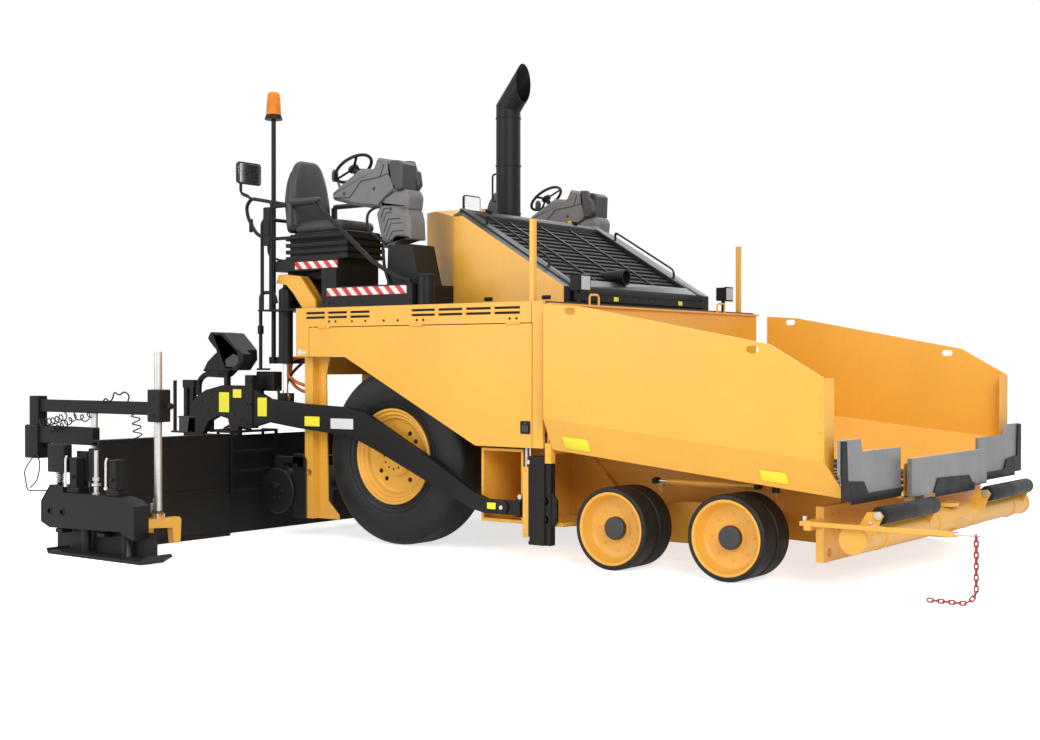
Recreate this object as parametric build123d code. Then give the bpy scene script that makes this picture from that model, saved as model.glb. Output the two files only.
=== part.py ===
"""Wheeled asphalt paver, standing on its wheels with the screed on the ground.

Millimetres. While the pieces are drawn, X points forwards to the hopper and is 0 at the rear axle,
Y points left and is 0 on the centre plane, Z points up and is 0 on the ground. When a piece is written,
X moves so that 0 is half way between the screed's rear edge and the tip of the guide bar.
Pieces with a twin are drawn on the right side (negative Y) and mirrored.
"""
from build123d import *
import math
import os

# Running gap between pieces that slide or turn, the gap at a pin, and the gap at a seat
GAP = 5.0
PIN_GAP = 0.05
SEAT_GAP = 0.3

# Rear driving wheels
TYRE_R = 680.0
TYRE_WIDTH = 430.0
TYRE_Y = 1240.0
RIM_R = 372.0
RIM_DISH = 95.0
RIM_WALL = 18.0
HUB_R = 150.0
AXLE_TUBE_R = 130.0
AXLE_END_R = 100.0
AXLE_END_DEPTH = 20.0

# Front wheels: two in line on each side, solid rubber bands on a steel rim
FRONT_X = (2063.0, 2937.0)
FRONT_R = 279.5
FRONT_RIM_R = 248.0
FRONT_OUTER_Y = 1555.0
FRONT_WIDTH = 350.0
BAND_GROOVE = 24.0
FRONT_DISH = 105.0
FRONT_CAP_R = 78.0
KINGPIN_Y = 1120.0
KINGPIN_R = 32.0
STEER_ARM = 135.0
TIE_ROD_Z = 574.0
TIE_ROD_R = 18.0

# Body: half width, deck, seam under the vents, bottom of the side door
BODY_Y = 1557.0
BODY_WALL = 30.0
DECK_Z = 1825.0
SEAM_Z = 1676.0
BODY_REAR = -911.0
BODY_FRONT = 1508.0
DOOR_FRONT = 1413.0
DOOR_LOW_Z = 800.0
DOOR_HIGH_Z = 1443.0
DOOR_LOW_X = 909.0
DOOR_HIGH_X = -387.0
DOOR_SLIT = 6.0
HINGE_R = 9.0
HINGE_PIN_R = 4.0
HINGE_HALF = 20.0
DOOR_HINGES = (-600.0, 350.0, 1250.0)

# Main frame
FRAME_Y = 830.0
FRAME_WALL = 30.0
FRAME_LOW_Z = 255.0
FRAME_HIGH_Z = 700.0
FRAME_REAR = -880.0
NOSE_X = 3487.0
NOSE_DEPTH = 53.0
NOSE_Y = 1400.0
NOSE_Z = (158.0, 505.0)
POST_X = (-920.0, -830.0)
POST_Y = (1380.0, 1450.0)
POST_LOW_Z = 155.0

# Tie-down holes: through the rear posts along Y and through the nose plate along X
TIE_R = 28.0
REAR_TIE = (-875.0, 520.0)
NOSE_TIE = (1320.0, 215.0)

# Hood over the engine
HOOD_Y = 1060.0
HOOD_REAR = -150.0
HOOD_SIDE_REAR = 300.0
HOOD_CHAMFER_Y = 850.0
HOOD_RIDGE_X = 270.0
HOOD_TOP_Z = 2590.0
HOOD_NOSE_X = 1335.0
HOOD_NOSE_Z = 1955.0
HOOD_WALL = 30.0
HOOD_BEVEL = 70.0
HOOD_HINGE = (258.0, 2608.0)
HOOD_HINGE_Y = 600.0
HOOD_PIN_R = 7.0
GRILLE_BORDER = 120.0
GRILLE_DEPTH = 50.0
SLAT_COUNT = 14

ENGINE_LOW_Z = 1000.0

# Exhaust stack
STACK_X = 18.0
STACK_R = 103.0
STACK_WALL = 5.0
STACK_FOOT_Z = 1935.0
STACK_KNEE_Z = 3532.0
STACK_REACH = 156.0
STACK_LEAN = 39.0

# Hopper: wing side outline, hinge line and slope to the front
WING_REAR = 1583.0
WING_FRONT = 3655.0
WING_Y = 1657.0
WING_REAR_Z = 1797.0
WING_SHOULDER = (1873.0, 1776.0)
WING_DROP = (3296.0, 1509.0)
WING_FRONT_Z = 1305.0
WING_WALL = 14.0
WING_BEND_Z = 1013.0
WING_LOW_Z = 795.0
WING_LOW_Y = 1545.0
WING_HINGE_Y = 710.0
WING_HINGE_Z = 745.0
HOPPER_SLOPE = 0.1015
SLOT_SIZE = (90.0, 46.0)
SLOT_PLACES = ((1804.0, 1743.0), (3180.0, 1476.0))
FLOOR_WALL = 12.0

# Front aprons
SIDE_APRON_X = (3742.0, 3762.0)
MID_APRON_X = (3797.0, 3827.0)
MID_APRON_Y = 704.0
MID_APRON_Z = (530.0, 778.0)
SIDE_APRON_Y = 1640.0

# Push beam with its rollers
PUSH_X = 3784.0
PUSH_Z = 327.0
PUSH_R = 84.0
PUSH_Y = 1517.0
ROLLER_X = 3895.0
ROLLER_Z = 470.0
ROLLER_R = 55.0
ROLLER_Y = (510.0, 1383.0)
ROLLER_PIN_R = 18.0

# Guide bar and its marker chain, on the right side only
BAR_Y = 1560.0
BAR_Z = 413.0
BAR_X = (3461.0, 4421.0)
BAR_ROD_TIP = 4572.0
CHAIN_X = 4550.0
CHAIN_WIRE_R = 5.0
CHAIN_LINK = 46.0
CHAIN_TRAIL = 250.0
CHAIN_BEND = 90.0
CHAIN_WIDTH = 40.0
BAR_ROD_R = 7.0

# Screed tow arms
TOW_PIN = (1151.0, 370.0)
TOW_PIN_R = 30.0
ARM_Y = (1500.0, 1545.0)
RAIL_X = (1382.0, 1563.0)
RAIL_Z = (124.0, 744.0)

# Screed: main box, extensions (run out as in the photograph) and end gates
SCREED_FRONT = -1600.0
SCREED_REAR = -2250.0
SCREED_Y = 1500.0
SCREED_Z = 800.0
EXT_X = (-1475.0, -1880.0)
EXT_Z = 820.0
EXT_BOX_Z = 430.0
EXT_Y = (1743.0, 3080.0)
EXT_WALL = 16.0
GATE_Y = (3085.0, 3215.0)
GATE_X = (-1893.0, -815.0)
GATE_Z = (149.0, 444.0)
GATE_HORN_Z = 494.0
LEG_X = (-1420.0, -967.0)
SKI_X = (-1700.0, -600.0)
SKI_Y = (3090.0, 3290.0)
WALK_REAR = -2900.0
WALK_Z = 330.0
POLE_X = -1000.0
POLE_Y = 2852.0
POLE_R = 29.0
POLE_TOP_Z = 1474.0
SENSE_ARM_REAR = -2394.0
SENSE_ARM_Z = (1012.0, 1108.0)

# Augers behind the rear wheels
AUGER_X = -1200.0
AUGER_Z = 366.0
AUGER_R = 190.0
AUGER_TUBE_R = 45.0
AUGER_Y = (130.0, 1440.0)
AUGER_PITCH = 300.0
AUGER_BLADE = 14.0
JOURNAL_R = 25.0
JOURNAL_INNER = 75.0
CASE_Y = 95.0

# Screed lift cylinders
LIFT_TOP = (-1136.0, 2070.0)
LIFT_EYE = (-1136.0, 1110.0)
LIFT_Y = 1450.0
LIFT_R = 58.0
LIFT_ROD_R = 20.0
LIFT_BARREL = 683.0
LIFT_PIN_R = 20.0

# Operator stations, one on each side
STATION_Y = 1300.0
SEAT_X = -1130.0
SEAT_WIDTH = 440.0
TRAY_Z = (2125.0, 2210.0)
NECK_LOW_Z = 2290.0
WHEEL_X = -530.0
WHEEL_Z = 2930.0
WHEEL_R = 158.0
WHEEL_GRIP = 13.0
WHEEL_TILT = 22.0
CUSHION_Z = 2440.0
BACK_TOP_Z = 3000.0
RAIL_POST_X = -1206.0
RAIL_TOP_Z = 2652.0
MIRROR_Y = -1465.0
MIRROR_Z = 2952.0
MIRROR_SIZE = (250.0, 170.0)
MAST_X = -1330.0
MAST_Y = 1400.0
MAST_R = 19.0
BEACON_Z = (3400.0, 3610.0)

# Marker posts and lamps
MARKER_X = 1382.0
MARKER_Y = 1500.0
MARKER_TOP_Z = 2403.0
LAMP_X = 1490.0
LAMP_Y = 1066.0
LAMP_Z = 1970.0

# Smaller sizes shared by two or more pieces
DECK_WALL = 14.0
CORNER_X = -770.0
VENTS = ((-800.0, -90.0), (300.0, 1340.0))
VENT_PITCH = 250.0
VENT_Z = (1748.0, 1784.0)
VENT_HALF = 9.0
VENT_RIB = 30.0
GRILLE_Y = 960.0
PUSH_PIN_R = 34.0
SPINDLE_R = 40.0
FRONT_HUB_BORE = SPINDLE_R + 0.5

WING_TIP = 3738.0
PAN_TIP = 3736.0
HOPPER_BACK = (1525.0, 1540.0)
TUNNEL_Y = 660.0
CONVEYOR_REAR = -840.0
FLIGHTS = 9
EXT_TUBE_X = (-1690.0, -1820.0)
EXT_TUBE_Z = 300.0
EXT_TUBE_R = 45.0
YOKE_TOP = 1208.0
YOKE = ((-1500, 870), (-1500, YOKE_TOP), (-1800, YOKE_TOP), (-2004, 1166), (-2117, 1110), (-2190, 1030),
        (-2235, SCREED_Z), (-2040, SCREED_Z), (-1965, 905), (-1840, 956), (-1725, 930), (-1690, SCREED_Z),
        (-1605, SCREED_Z), (-1605, 870))

MID_X = (WALK_REAR + BAR_ROD_TIP) / 2


def block(x, y, z):
    """A box between the low and high values of each axis."""
    low = [min(pair) for pair in (x, y, z)]
    size = [abs(pair[1] - pair[0]) for pair in (x, y, z)]
    return Pos(*low) * Box(*size, align=(Align.MIN,) * 3)


def plate_y(outline, y):
    """An outline of (x, z) points made a plate between two values of y."""
    plane = Plane(origin=(0, max(y), 0), x_dir=(1, 0, 0), z_dir=(0, -1, 0))
    return extrude(plane * make_face(Polyline(*outline, close=True)), abs(y[1] - y[0]))


def plate_x(outline, x):
    """An outline of (y, z) points made a plate between two values of x."""
    plane = Plane(origin=(min(x), 0, 0), x_dir=(0, 1, 0), z_dir=(1, 0, 0))
    return extrude(plane * make_face(Polyline(*outline, close=True)), abs(x[1] - x[0]))


def plate_z(outline, z):
    """An outline of (x, y) points made a plate between two values of z."""
    return extrude(Plane.XY.offset(min(z)) * make_face(Polyline(*outline, close=True)), abs(z[1] - z[0]))


def bar_x(y, z, radius, x):
    """A round bar along X."""
    return Pos((x[0] + x[1]) / 2, y, z) * Rot(0, 90, 0) * Cylinder(radius, abs(x[1] - x[0]))


def bar_y(x, z, radius, y):
    """A round bar along Y."""
    return Pos(x, (y[0] + y[1]) / 2, z) * Rot(90, 0, 0) * Cylinder(radius, abs(y[1] - y[0]))


def bar_z(x, y, radius, z):
    """A round bar along Z."""
    return Pos(x, y, (z[0] + z[1]) / 2) * Cylinder(radius, abs(z[1] - z[0]))


def tube(points, radius, bend):
    """A round bar along straight runs with rounded corners."""
    path = FilletPolyline(*points, radius=bend) if len(points) > 2 else Line(*points)
    return sweep(Plane(origin=path @ 0, z_dir=path % 0) * Circle(radius), path=path)


def turned(profile, x, y, z):
    """A profile of (outward, radius) points turned about the wheel axle on the right side at y."""
    plane = Plane(origin=(x, -y, z), x_dir=(0, -1, 0), z_dir=(-1, 0, 0))
    return revolve(plane * make_face(Polyline(*profile, close=True)), Axis((x, -y, z), (0, 1, 0)))


def left(part):
    """The same piece on the left side."""
    return mirror(part, about=Plane.XZ)


def both(part):
    """The piece and its twin on the left."""
    return part + left(part)


def rear_tyre():
    half = TYRE_WIDTH / 2
    profile = ((-half * 0.62, RIM_R - 40), (-half * 0.95, RIM_R + 60), (-half, TYRE_R - 170),
               (-half * 0.9, TYRE_R - 45), (-half * 0.68, TYRE_R), (half * 0.68, TYRE_R),
               (half * 0.9, TYRE_R - 45), (half, TYRE_R - 170), (half * 0.95, RIM_R + 60),
               (half * 0.62, RIM_R - 40))
    return turned(profile, 0, TYRE_Y, TYRE_R)


def rear_rim():
    half = TYRE_WIDTH / 2
    bead = RIM_R - 40 - PIN_GAP
    lip = half * 0.62
    disc = half - RIM_DISH
    profile = ((-lip, bead), (-lip, bead - RIM_WALL), (disc - 30, bead - RIM_WALL - 12), (disc - 30, HUB_R),
               (disc - 60, HUB_R - 20), (disc - 60, AXLE_END_R + SEAT_GAP),
               (disc + AXLE_END_DEPTH, AXLE_END_R + SEAT_GAP),
               (disc + AXLE_END_DEPTH, 0), (disc + 60, 0), (disc + 60, HUB_R * 0.45),
               (disc + 35, HUB_R * 0.8), (disc, HUB_R), (disc, bead - RIM_WALL - 50),
               (lip + 8, bead - RIM_WALL), (lip + 60, bead + 20), (lip + 60, bead + 32),
               (lip + 40, bead + 32), (lip + 12, bead))
    return turned(profile, 0, TYRE_Y, TYRE_R)


def front_tyre(x):
    half = FRONT_WIDTH / 2
    groove = BAND_GROOVE / 2
    soft = 12.0
    bed = FRONT_RIM_R + PIN_GAP
    profile = ((-half, bed), (-half, FRONT_R - soft), (-half + soft, FRONT_R), (-groove - 6, FRONT_R),
               (-groove, bed + 8), (groove, bed + 8), (groove + 6, FRONT_R), (half - soft, FRONT_R),
               (half, FRONT_R - soft), (half, bed))
    return turned(profile, x, FRONT_OUTER_Y - half, FRONT_R)


def front_rim(x):
    half = FRONT_WIDTH / 2
    disc = half - FRONT_DISH
    profile = ((-half, FRONT_RIM_R), (-half, FRONT_RIM_R - 22), (disc - 26, FRONT_RIM_R - 30),
               (disc - 26, 90), (-60, 90), (-60, FRONT_HUB_BORE), (disc + 10, FRONT_HUB_BORE),
               (disc + 10, 0), (disc + 62, 0), (disc + 62, FRONT_CAP_R - 8), (disc + 54, FRONT_CAP_R),
               (disc, FRONT_CAP_R), (disc, FRONT_RIM_R - 30), (half, FRONT_RIM_R - 16), (half, FRONT_RIM_R))
    return turned(profile, x, FRONT_OUTER_Y - half, FRONT_R)


def front_wheel(x):
    """A front wheel: the steel rim and, just clear of it, the rubber bands."""
    return front_tyre(x) + front_rim(x)


def knuckle(x):
    """Kingpin, the spindle that carries the wheel, and the arm up to the tie rod."""
    spindle_end = FRONT_OUTER_Y - FRONT_DISH - 12
    pin = bar_z(x, -KINGPIN_Y, KINGPIN_R, (150, 412))
    barrel = bar_z(x, -KINGPIN_Y, KINGPIN_R + 22, (192, 367))
    spindle = bar_y(x, FRONT_R, SPINDLE_R, (-KINGPIN_Y, -spindle_end))
    arm = plate_z(((x - 30, -KINGPIN_Y - 26), (x - 30, -KINGPIN_Y + 26), (x + STEER_ARM, -KINGPIN_Y + 24),
                   (x + STEER_ARM + 24, -KINGPIN_Y), (x + STEER_ARM, -KINGPIN_Y - 24)), (412, 440))
    stud = bar_z(x + STEER_ARM, -KINGPIN_Y, 12, (440, TIE_ROD_Z - TIE_ROD_R - 9 - SEAT_GAP))
    return pin + barrel + spindle + arm + stud


def tie_rod():
    """Rod from the rear knuckle's arm to the front one's, over the wheels."""
    ends = [x + STEER_ARM for x in FRONT_X]
    rod = bar_x(-KINGPIN_Y, TIE_ROD_Z, TIE_ROD_R, (ends[0], ends[1]))
    for x in ends:
        rod += bar_z(x, -KINGPIN_Y, 26, (TIE_ROD_Z - TIE_ROD_R - 9, TIE_ROD_Z + TIE_ROD_R))
    return rod


def bogie_beam():
    """Beam on each side that carries two front wheels, with forks for the kingpins."""
    inner, outer = 900.0, KINGPIN_Y - 90
    beam = plate_y(((FRONT_X[0] - 60, 155), (FRONT_X[0] - 60, 404), (2350, 440), (2650, 440),
                    (FRONT_X[1] + 60, 404), (FRONT_X[1] + 60, 155)), (-outer, -inner))
    for x in FRONT_X:
        for z in ((155, 187), (372, 404)):
            lug = block((x - 55, x + 55), (-KINGPIN_Y, -outer), z) + bar_z(x, -KINGPIN_Y, 55, z)
            beam += lug
        beam -= bar_z(x, -KINGPIN_Y, KINGPIN_R + PIN_GAP, (100, 450))
    pivot = bar_y(2500, 305, 60, (-inner, -FRAME_Y))
    return beam + pivot


def main_frame():
    """Side plates, cross members, nose plate, rear posts and the drive axle housing."""
    wall = (-FRAME_Y, -FRAME_Y + FRAME_WALL)
    side = plate_y(((FRAME_REAR, FRAME_LOW_Z), (FRAME_REAR, 1400), (-300, 1400), (900, 1000),
                    (WING_REAR - 60, 1000), (WING_REAR - 60, FRAME_HIGH_Z), (NOSE_X, 500),
                    (NOSE_X, FRAME_LOW_Z - 60), (1700, FRAME_LOW_Z)), wall)
    box = block((906, 1283), (-1480, -FRAME_Y), (FRAME_LOW_Z, 783))
    box -= block((926, 1263), (-1500, -FRAME_Y - 20), (FRAME_LOW_Z + 25, 763))
    foot = plate_z(((1283, -1480), (1625, -1480), (1630, -1430), (1735, -1110), (1735, -FRAME_Y),
                    (1283, -FRAME_Y)),
                   (FRAME_LOW_Z, FRAME_LOW_Z + 30))
    brace = plate_y(((1283, FRAME_LOW_Z), (1283, 783), (1380, 783), (1735, 430), (1735, FRAME_LOW_Z)),
                    (-FRAME_Y - 40, -FRAME_Y))
    axle = bar_y(0, TYRE_R, AXLE_TUBE_R, (-TYRE_Y + 175, -FRAME_Y))
    hub_end = TYRE_Y + TYRE_WIDTH / 2 - RIM_DISH + AXLE_END_DEPTH - SEAT_GAP
    axle += bar_y(0, TYRE_R, AXLE_END_R, (-hub_end, -TYRE_Y + 175))
    post = block(POST_X, (-POST_Y[1], -POST_Y[0]), (POST_LOW_Z, DOOR_HIGH_Z))
    web = plate_y(((POST_X[1], POST_LOW_Z), (-600, POST_LOW_Z), (-600, 190), (-720, 300), (-740, 1300),
                   (-700, DOOR_HIGH_Z), (POST_X[1], DOOR_HIGH_Z)), (-POST_Y[0] - 12, -POST_Y[0]))
    post -= bar_y(*REAR_TIE, TIE_R, (-POST_Y[1] - 1, -POST_Y[0] + 1))
    half = side + box + foot + brace + axle + post + web
    cross = Part()
    for x, z in ((-880, 300), (-880, 1300), (900, 300), (1500, 600), (2500, 305), (3300, 300),
                 (320, ENGINE_LOW_Z - 80), (1120, ENGINE_LOW_Z - 80)):
        cross += block((x, x + 60), (-FRAME_Y + FRAME_WALL, FRAME_Y - FRAME_WALL), (z, z + 80))
    shelf = block((-880, -820), (-POST_Y[0], POST_Y[0]), (1300, DOOR_HIGH_Z))
    nose = block((NOSE_X, NOSE_X + NOSE_DEPTH), (-NOSE_Y, NOSE_Y), NOSE_Z)
    for y in (-NOSE_TIE[0], NOSE_TIE[0]):
        nose -= bar_x(y, NOSE_TIE[1], TIE_R, (NOSE_X - 1, NOSE_X + NOSE_DEPTH + 1))
    ears = Part()
    for z in (PUSH_Z - PUSH_R - 32, PUSH_Z + PUSH_R + 7):
        ears += block((NOSE_X + NOSE_DEPTH, PUSH_X), (-90, 90), (z, z + 25)) + bar_z(PUSH_X, 0, 90,
                                                                                     (z, z + 25))
    king = bar_z(PUSH_X, 0, PUSH_PIN_R, (PUSH_Z - PUSH_R - 32, PUSH_Z + PUSH_R + 32))
    return both(half + bogie_beam()) + cross + shelf + nose + ears + king + guide_bar()


def guide_bar():
    """Square bar and rod that reach past the right side of the hopper for the driver to steer by."""
    bar = block(BAR_X, (-BAR_Y - 14, -BAR_Y + 14), (BAR_Z - 14, BAR_Z + 14))
    rod = bar_x(-BAR_Y, BAR_Z, BAR_ROD_R, (BAR_X[1], BAR_ROD_TIP))
    seat = block((NOSE_X + 4, NOSE_X + NOSE_DEPTH - 4), (-BAR_Y - 20, -NOSE_Y), (BAR_Z - 40, BAR_Z + 20))
    return bar + rod + seat


def deck_sides():
    """Upper side bands with vents, the front pillars, rear corners and the two marker posts."""
    wall = (-BODY_Y, -BODY_Y + BODY_WALL)
    band = block((BODY_REAR, BODY_FRONT), wall, (SEAM_Z, DECK_Z))
    pillar = block((DOOR_FRONT + DOOR_SLIT, BODY_FRONT), wall, (DOOR_LOW_Z, SEAM_Z))
    corner = block((BODY_REAR, CORNER_X), wall, (DOOR_HIGH_Z, SEAM_Z))
    end = block((BODY_REAR, BODY_REAR + BODY_WALL), (-BODY_Y + BODY_WALL, -POST_Y[0] - 20),
                (DOOR_HIGH_Z, DECK_Z - DECK_WALL))
    side = band + pillar + corner + end
    for first, last in VENTS:
        count = round((last - first) / VENT_PITCH)
        pitch = (last - first) / count
        for column in range(count):
            x = first + column * pitch
            for z in VENT_Z:
                side -= block((x, x + pitch - VENT_RIB), (-BODY_Y - 1, -BODY_Y + 14),
                              (z - VENT_HALF, z + VENT_HALF))
    brace = block((BODY_FRONT - 60, BODY_FRONT), (-BODY_Y + BODY_WALL, -FRAME_Y + FRAME_WALL), (1000, 1060))
    post = block((MARKER_X - 18, MARKER_X + 18), (-MARKER_Y - 18, -MARKER_Y + 18), (DECK_Z, MARKER_TOP_Z))
    for x in DOOR_HINGES:
        side -= door_barrel(x, HINGE_R + SEAT_GAP, HINGE_HALF + 1)
        side += door_barrel(x, HINGE_R, 3 * HINGE_HALF) - door_barrel(x, HINGE_R + 1, HINGE_HALF + 1)
        side += door_barrel(x, HINGE_PIN_R, 2 * HINGE_HALF)
    return both(side + brace + post + lift_bracket())


def door_barrel(x, radius, reach):
    """A round bar on the side door's hinge line, to a reach each way from x."""
    return bar_x(-BODY_Y, SEAM_Z - DOOR_SLIT, radius, (x - reach, x + reach))


def side_door():
    """Side door under the vents, hinged along its top edge."""
    wall = (-BODY_Y, -BODY_Y + BODY_WALL)
    top = SEAM_Z - DOOR_SLIT
    rear = CORNER_X + DOOR_SLIT
    outline = ((rear, DOOR_HIGH_Z), (rear, top), (DOOR_FRONT, top), (DOOR_FRONT, DOOR_LOW_Z),
               (DOOR_LOW_X, DOOR_LOW_Z), (DOOR_HIGH_X, DOOR_HIGH_Z))
    skin = plate_y(outline, (wall[0], wall[0] + 6))
    inset = BODY_WALL
    inner = ((rear + inset, DOOR_HIGH_Z + inset), (rear + inset, top - inset),
             (DOOR_FRONT - inset, top - inset),
             (DOOR_FRONT - inset, DOOR_LOW_Z + inset), (DOOR_LOW_X + 15, DOOR_LOW_Z + inset),
             (DOOR_HIGH_X + 15, DOOR_HIGH_Z + inset))
    rim = plate_y(outline, (wall[0] + 6, wall[1])) - plate_y(inner, (wall[0], wall[1] + 1))
    door = skin + rim
    for x in DOOR_HINGES:
        door -= door_barrel(x, HINGE_R + SEAT_GAP, 3 * HINGE_HALF + 1)
        door += door_barrel(x, HINGE_R, HINGE_HALF) - door_barrel(x, HINGE_PIN_R + PIN_GAP, 2 * HINGE_HALF)
        door += block((x - HINGE_HALF, x + HINGE_HALF), (wall[0] + HINGE_R - 3, wall[0] + BODY_WALL / 2),
                      (top - HINGE_R - 6, top - 1))
    return door


def operator_deck():
    """Deck plate with its opening for the hood."""
    half = BODY_Y - BODY_WALL
    deck = block((BODY_REAR, BODY_FRONT), (-half, half), (DECK_Z - DECK_WALL, DECK_Z))
    return deck - block((HOOD_REAR + 60, HOOD_NOSE_X - 60), (-HOOD_CHAMFER_Y + 60, HOOD_CHAMFER_Y - 60),
                        (DECK_Z - 60, DECK_Z + 1))


def hood_outline(inset):
    """Plan of the hood: wide in front, its rear corners cut off at a slant."""
    wide = HOOD_Y - inset
    narrow = HOOD_CHAMFER_Y - inset
    right = ((HOOD_REAR + inset, -narrow), (HOOD_SIDE_REAR + inset * 0.4, -wide),
             (HOOD_NOSE_X - inset, -wide))
    return right + tuple((x, -y) for x, y in reversed(right))


def hood_mass(inset, drop):
    """The hood's form, made smaller by an inset on the sides and a drop from the top."""
    plan = plate_z(hood_outline(inset), (DECK_Z - 1 if inset else DECK_Z, HOOD_TOP_Z))
    side = plate_y(((HOOD_REAR, DECK_Z - 1), (HOOD_REAR, HOOD_TOP_Z - drop),
                    (HOOD_RIDGE_X, HOOD_TOP_Z - drop),
                    (HOOD_NOSE_X, HOOD_NOSE_Z - drop), (HOOD_NOSE_X, DECK_Z - 1)), (-HOOD_Y, HOOD_Y))
    bevel = HOOD_BEVEL
    wide = HOOD_Y - inset
    front = plate_x(((-wide, DECK_Z - 1), (-wide, HOOD_TOP_Z - bevel - drop),
                     (-wide + 2 * bevel, HOOD_TOP_Z - drop),
                     (wide - 2 * bevel, HOOD_TOP_Z - drop), (wide, HOOD_TOP_Z - bevel - drop),
                     (wide, DECK_Z - 1)),
                    (HOOD_REAR, HOOD_NOSE_X))
    return plan & side & front


def hood():
    """Yellow shell of the hood, open under the sloping grille, with a hole for the stack."""
    shell = hood_mass(0, 0) - hood_mass(HOOD_WALL, HOOD_WALL)
    well = plate_y(((HOOD_RIDGE_X, HOOD_TOP_Z + 1), (HOOD_RIDGE_X, HOOD_TOP_Z - GRILLE_DEPTH),
                    (HOOD_NOSE_X + 1, HOOD_NOSE_Z - GRILLE_DEPTH), (HOOD_NOSE_X + 1, HOOD_TOP_Z + 1)),
                   (-GRILLE_Y - GAP, GRILLE_Y + GAP))
    top, low = GRILLE_DEPTH - GAP + SEAT_GAP, GRILLE_DEPTH + 20
    ledge = plate_y(((HOOD_RIDGE_X, HOOD_TOP_Z - top), (HOOD_RIDGE_X, HOOD_TOP_Z - low),
                     (HOOD_NOSE_X - 10, HOOD_NOSE_Z - low), (HOOD_NOSE_X - 10, HOOD_NOSE_Z - top)),
                    (-HOOD_Y + HOOD_WALL - 1, -GRILLE_Y + 60))
    x, z = HOOD_HINGE
    lugs = Part()
    for start in (-52, 28):
        lugs += block((x - 14, x + 11), (-HOOD_HINGE_Y + start, -HOOD_HINGE_Y + start + 24),
                      (HOOD_TOP_Z - 2, z + 8))
    lugs += bar_y(x, z, HOOD_PIN_R, (-HOOD_HINGE_Y - 30, -HOOD_HINGE_Y + 30))
    return shell - well + both(ledge + lugs) - bar_z(STACK_X, 0, STACK_R + GAP,
                                                     (HOOD_TOP_Z - 100, HOOD_TOP_Z + 1))


def hood_grille():
    """Black sloping lid of the hood: a frame with slats across and the intake stub."""
    slope = (HOOD_TOP_Z - HOOD_NOSE_Z) / (HOOD_NOSE_X - HOOD_RIDGE_X)

    def level(x):
        return HOOD_TOP_Z - slope * (x - HOOD_RIDGE_X)

    rear, front = HOOD_RIDGE_X + GAP, HOOD_NOSE_X + 20
    under = GRILLE_DEPTH - GAP
    slab = plate_y(((rear, level(rear) + 12), (rear, level(rear) - under), (front, level(front) - under),
                    (front, level(front) + 12)), (-GRILLE_Y, GRILLE_Y))
    first, last = rear + GRILLE_BORDER * 0.6, front - GRILLE_BORDER
    window = plate_y(((first, level(first) + 40), (first, level(first) - 90), (last, level(last) - 90),
                      (last, level(last) + 40)), (-GRILLE_Y + GRILLE_BORDER, GRILLE_Y - GRILLE_BORDER))
    lid = slab - window
    pitch = (last - first) / SLAT_COUNT
    for index in range(SLAT_COUNT):
        x = first + (index + 0.5) * pitch
        z = level(x) - 14
        lid += plate_y(((x - 8, z - 16), (x + 20, z + 10), (x + 20, z + 4), (x - 2, z - 22)),
                       (-GRILLE_Y + GRILLE_BORDER - 2, GRILLE_Y - GRILLE_BORDER + 2))
    for y in (-400, 0, 400):
        lid += plate_y(((first - 2, level(first) - 20), (first - 2, level(first) - 36),
                        (last + 2, level(last) - 36),
                        (last + 2, level(last) - 20)), (y - 12, y + 12))
    lip = block((HOOD_NOSE_X + GAP, front), (-GRILLE_Y, GRILLE_Y),
                (DECK_Z + 25, level(HOOD_NOSE_X + GAP) - under))
    stub = bar_x(-150, level(1180) + 10, 55, (1060, 1290))
    x, z = HOOD_HINGE
    strap = bar_y(x, z, HOOD_PIN_R + 6, (-HOOD_HINGE_Y - 22, -HOOD_HINGE_Y + 22))
    strap += block((x, rear + 30), (-HOOD_HINGE_Y - 22, -HOOD_HINGE_Y + 22), (HOOD_TOP_Z - 10, z + 4))
    strap -= block((x - 20, rear), (-HOOD_HINGE_Y - 30, -HOOD_HINGE_Y + 30),
                   (HOOD_TOP_Z - 20, HOOD_TOP_Z + GAP))
    strap -= bar_y(x, z, HOOD_PIN_R + PIN_GAP, (-HOOD_HINGE_Y - 30, -HOOD_HINGE_Y + 30))
    return lid + lip + stub + both(strap)


def engine_block():
    """Engine with its radiator as one plain mass on its sump."""
    sump = block((300, 1200), (-300, 300), (ENGINE_LOW_Z, ENGINE_LOW_Z + 50))
    return block((250, 1250), (-420, 420), (ENGINE_LOW_Z + 50, 1930)) + sump


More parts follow.
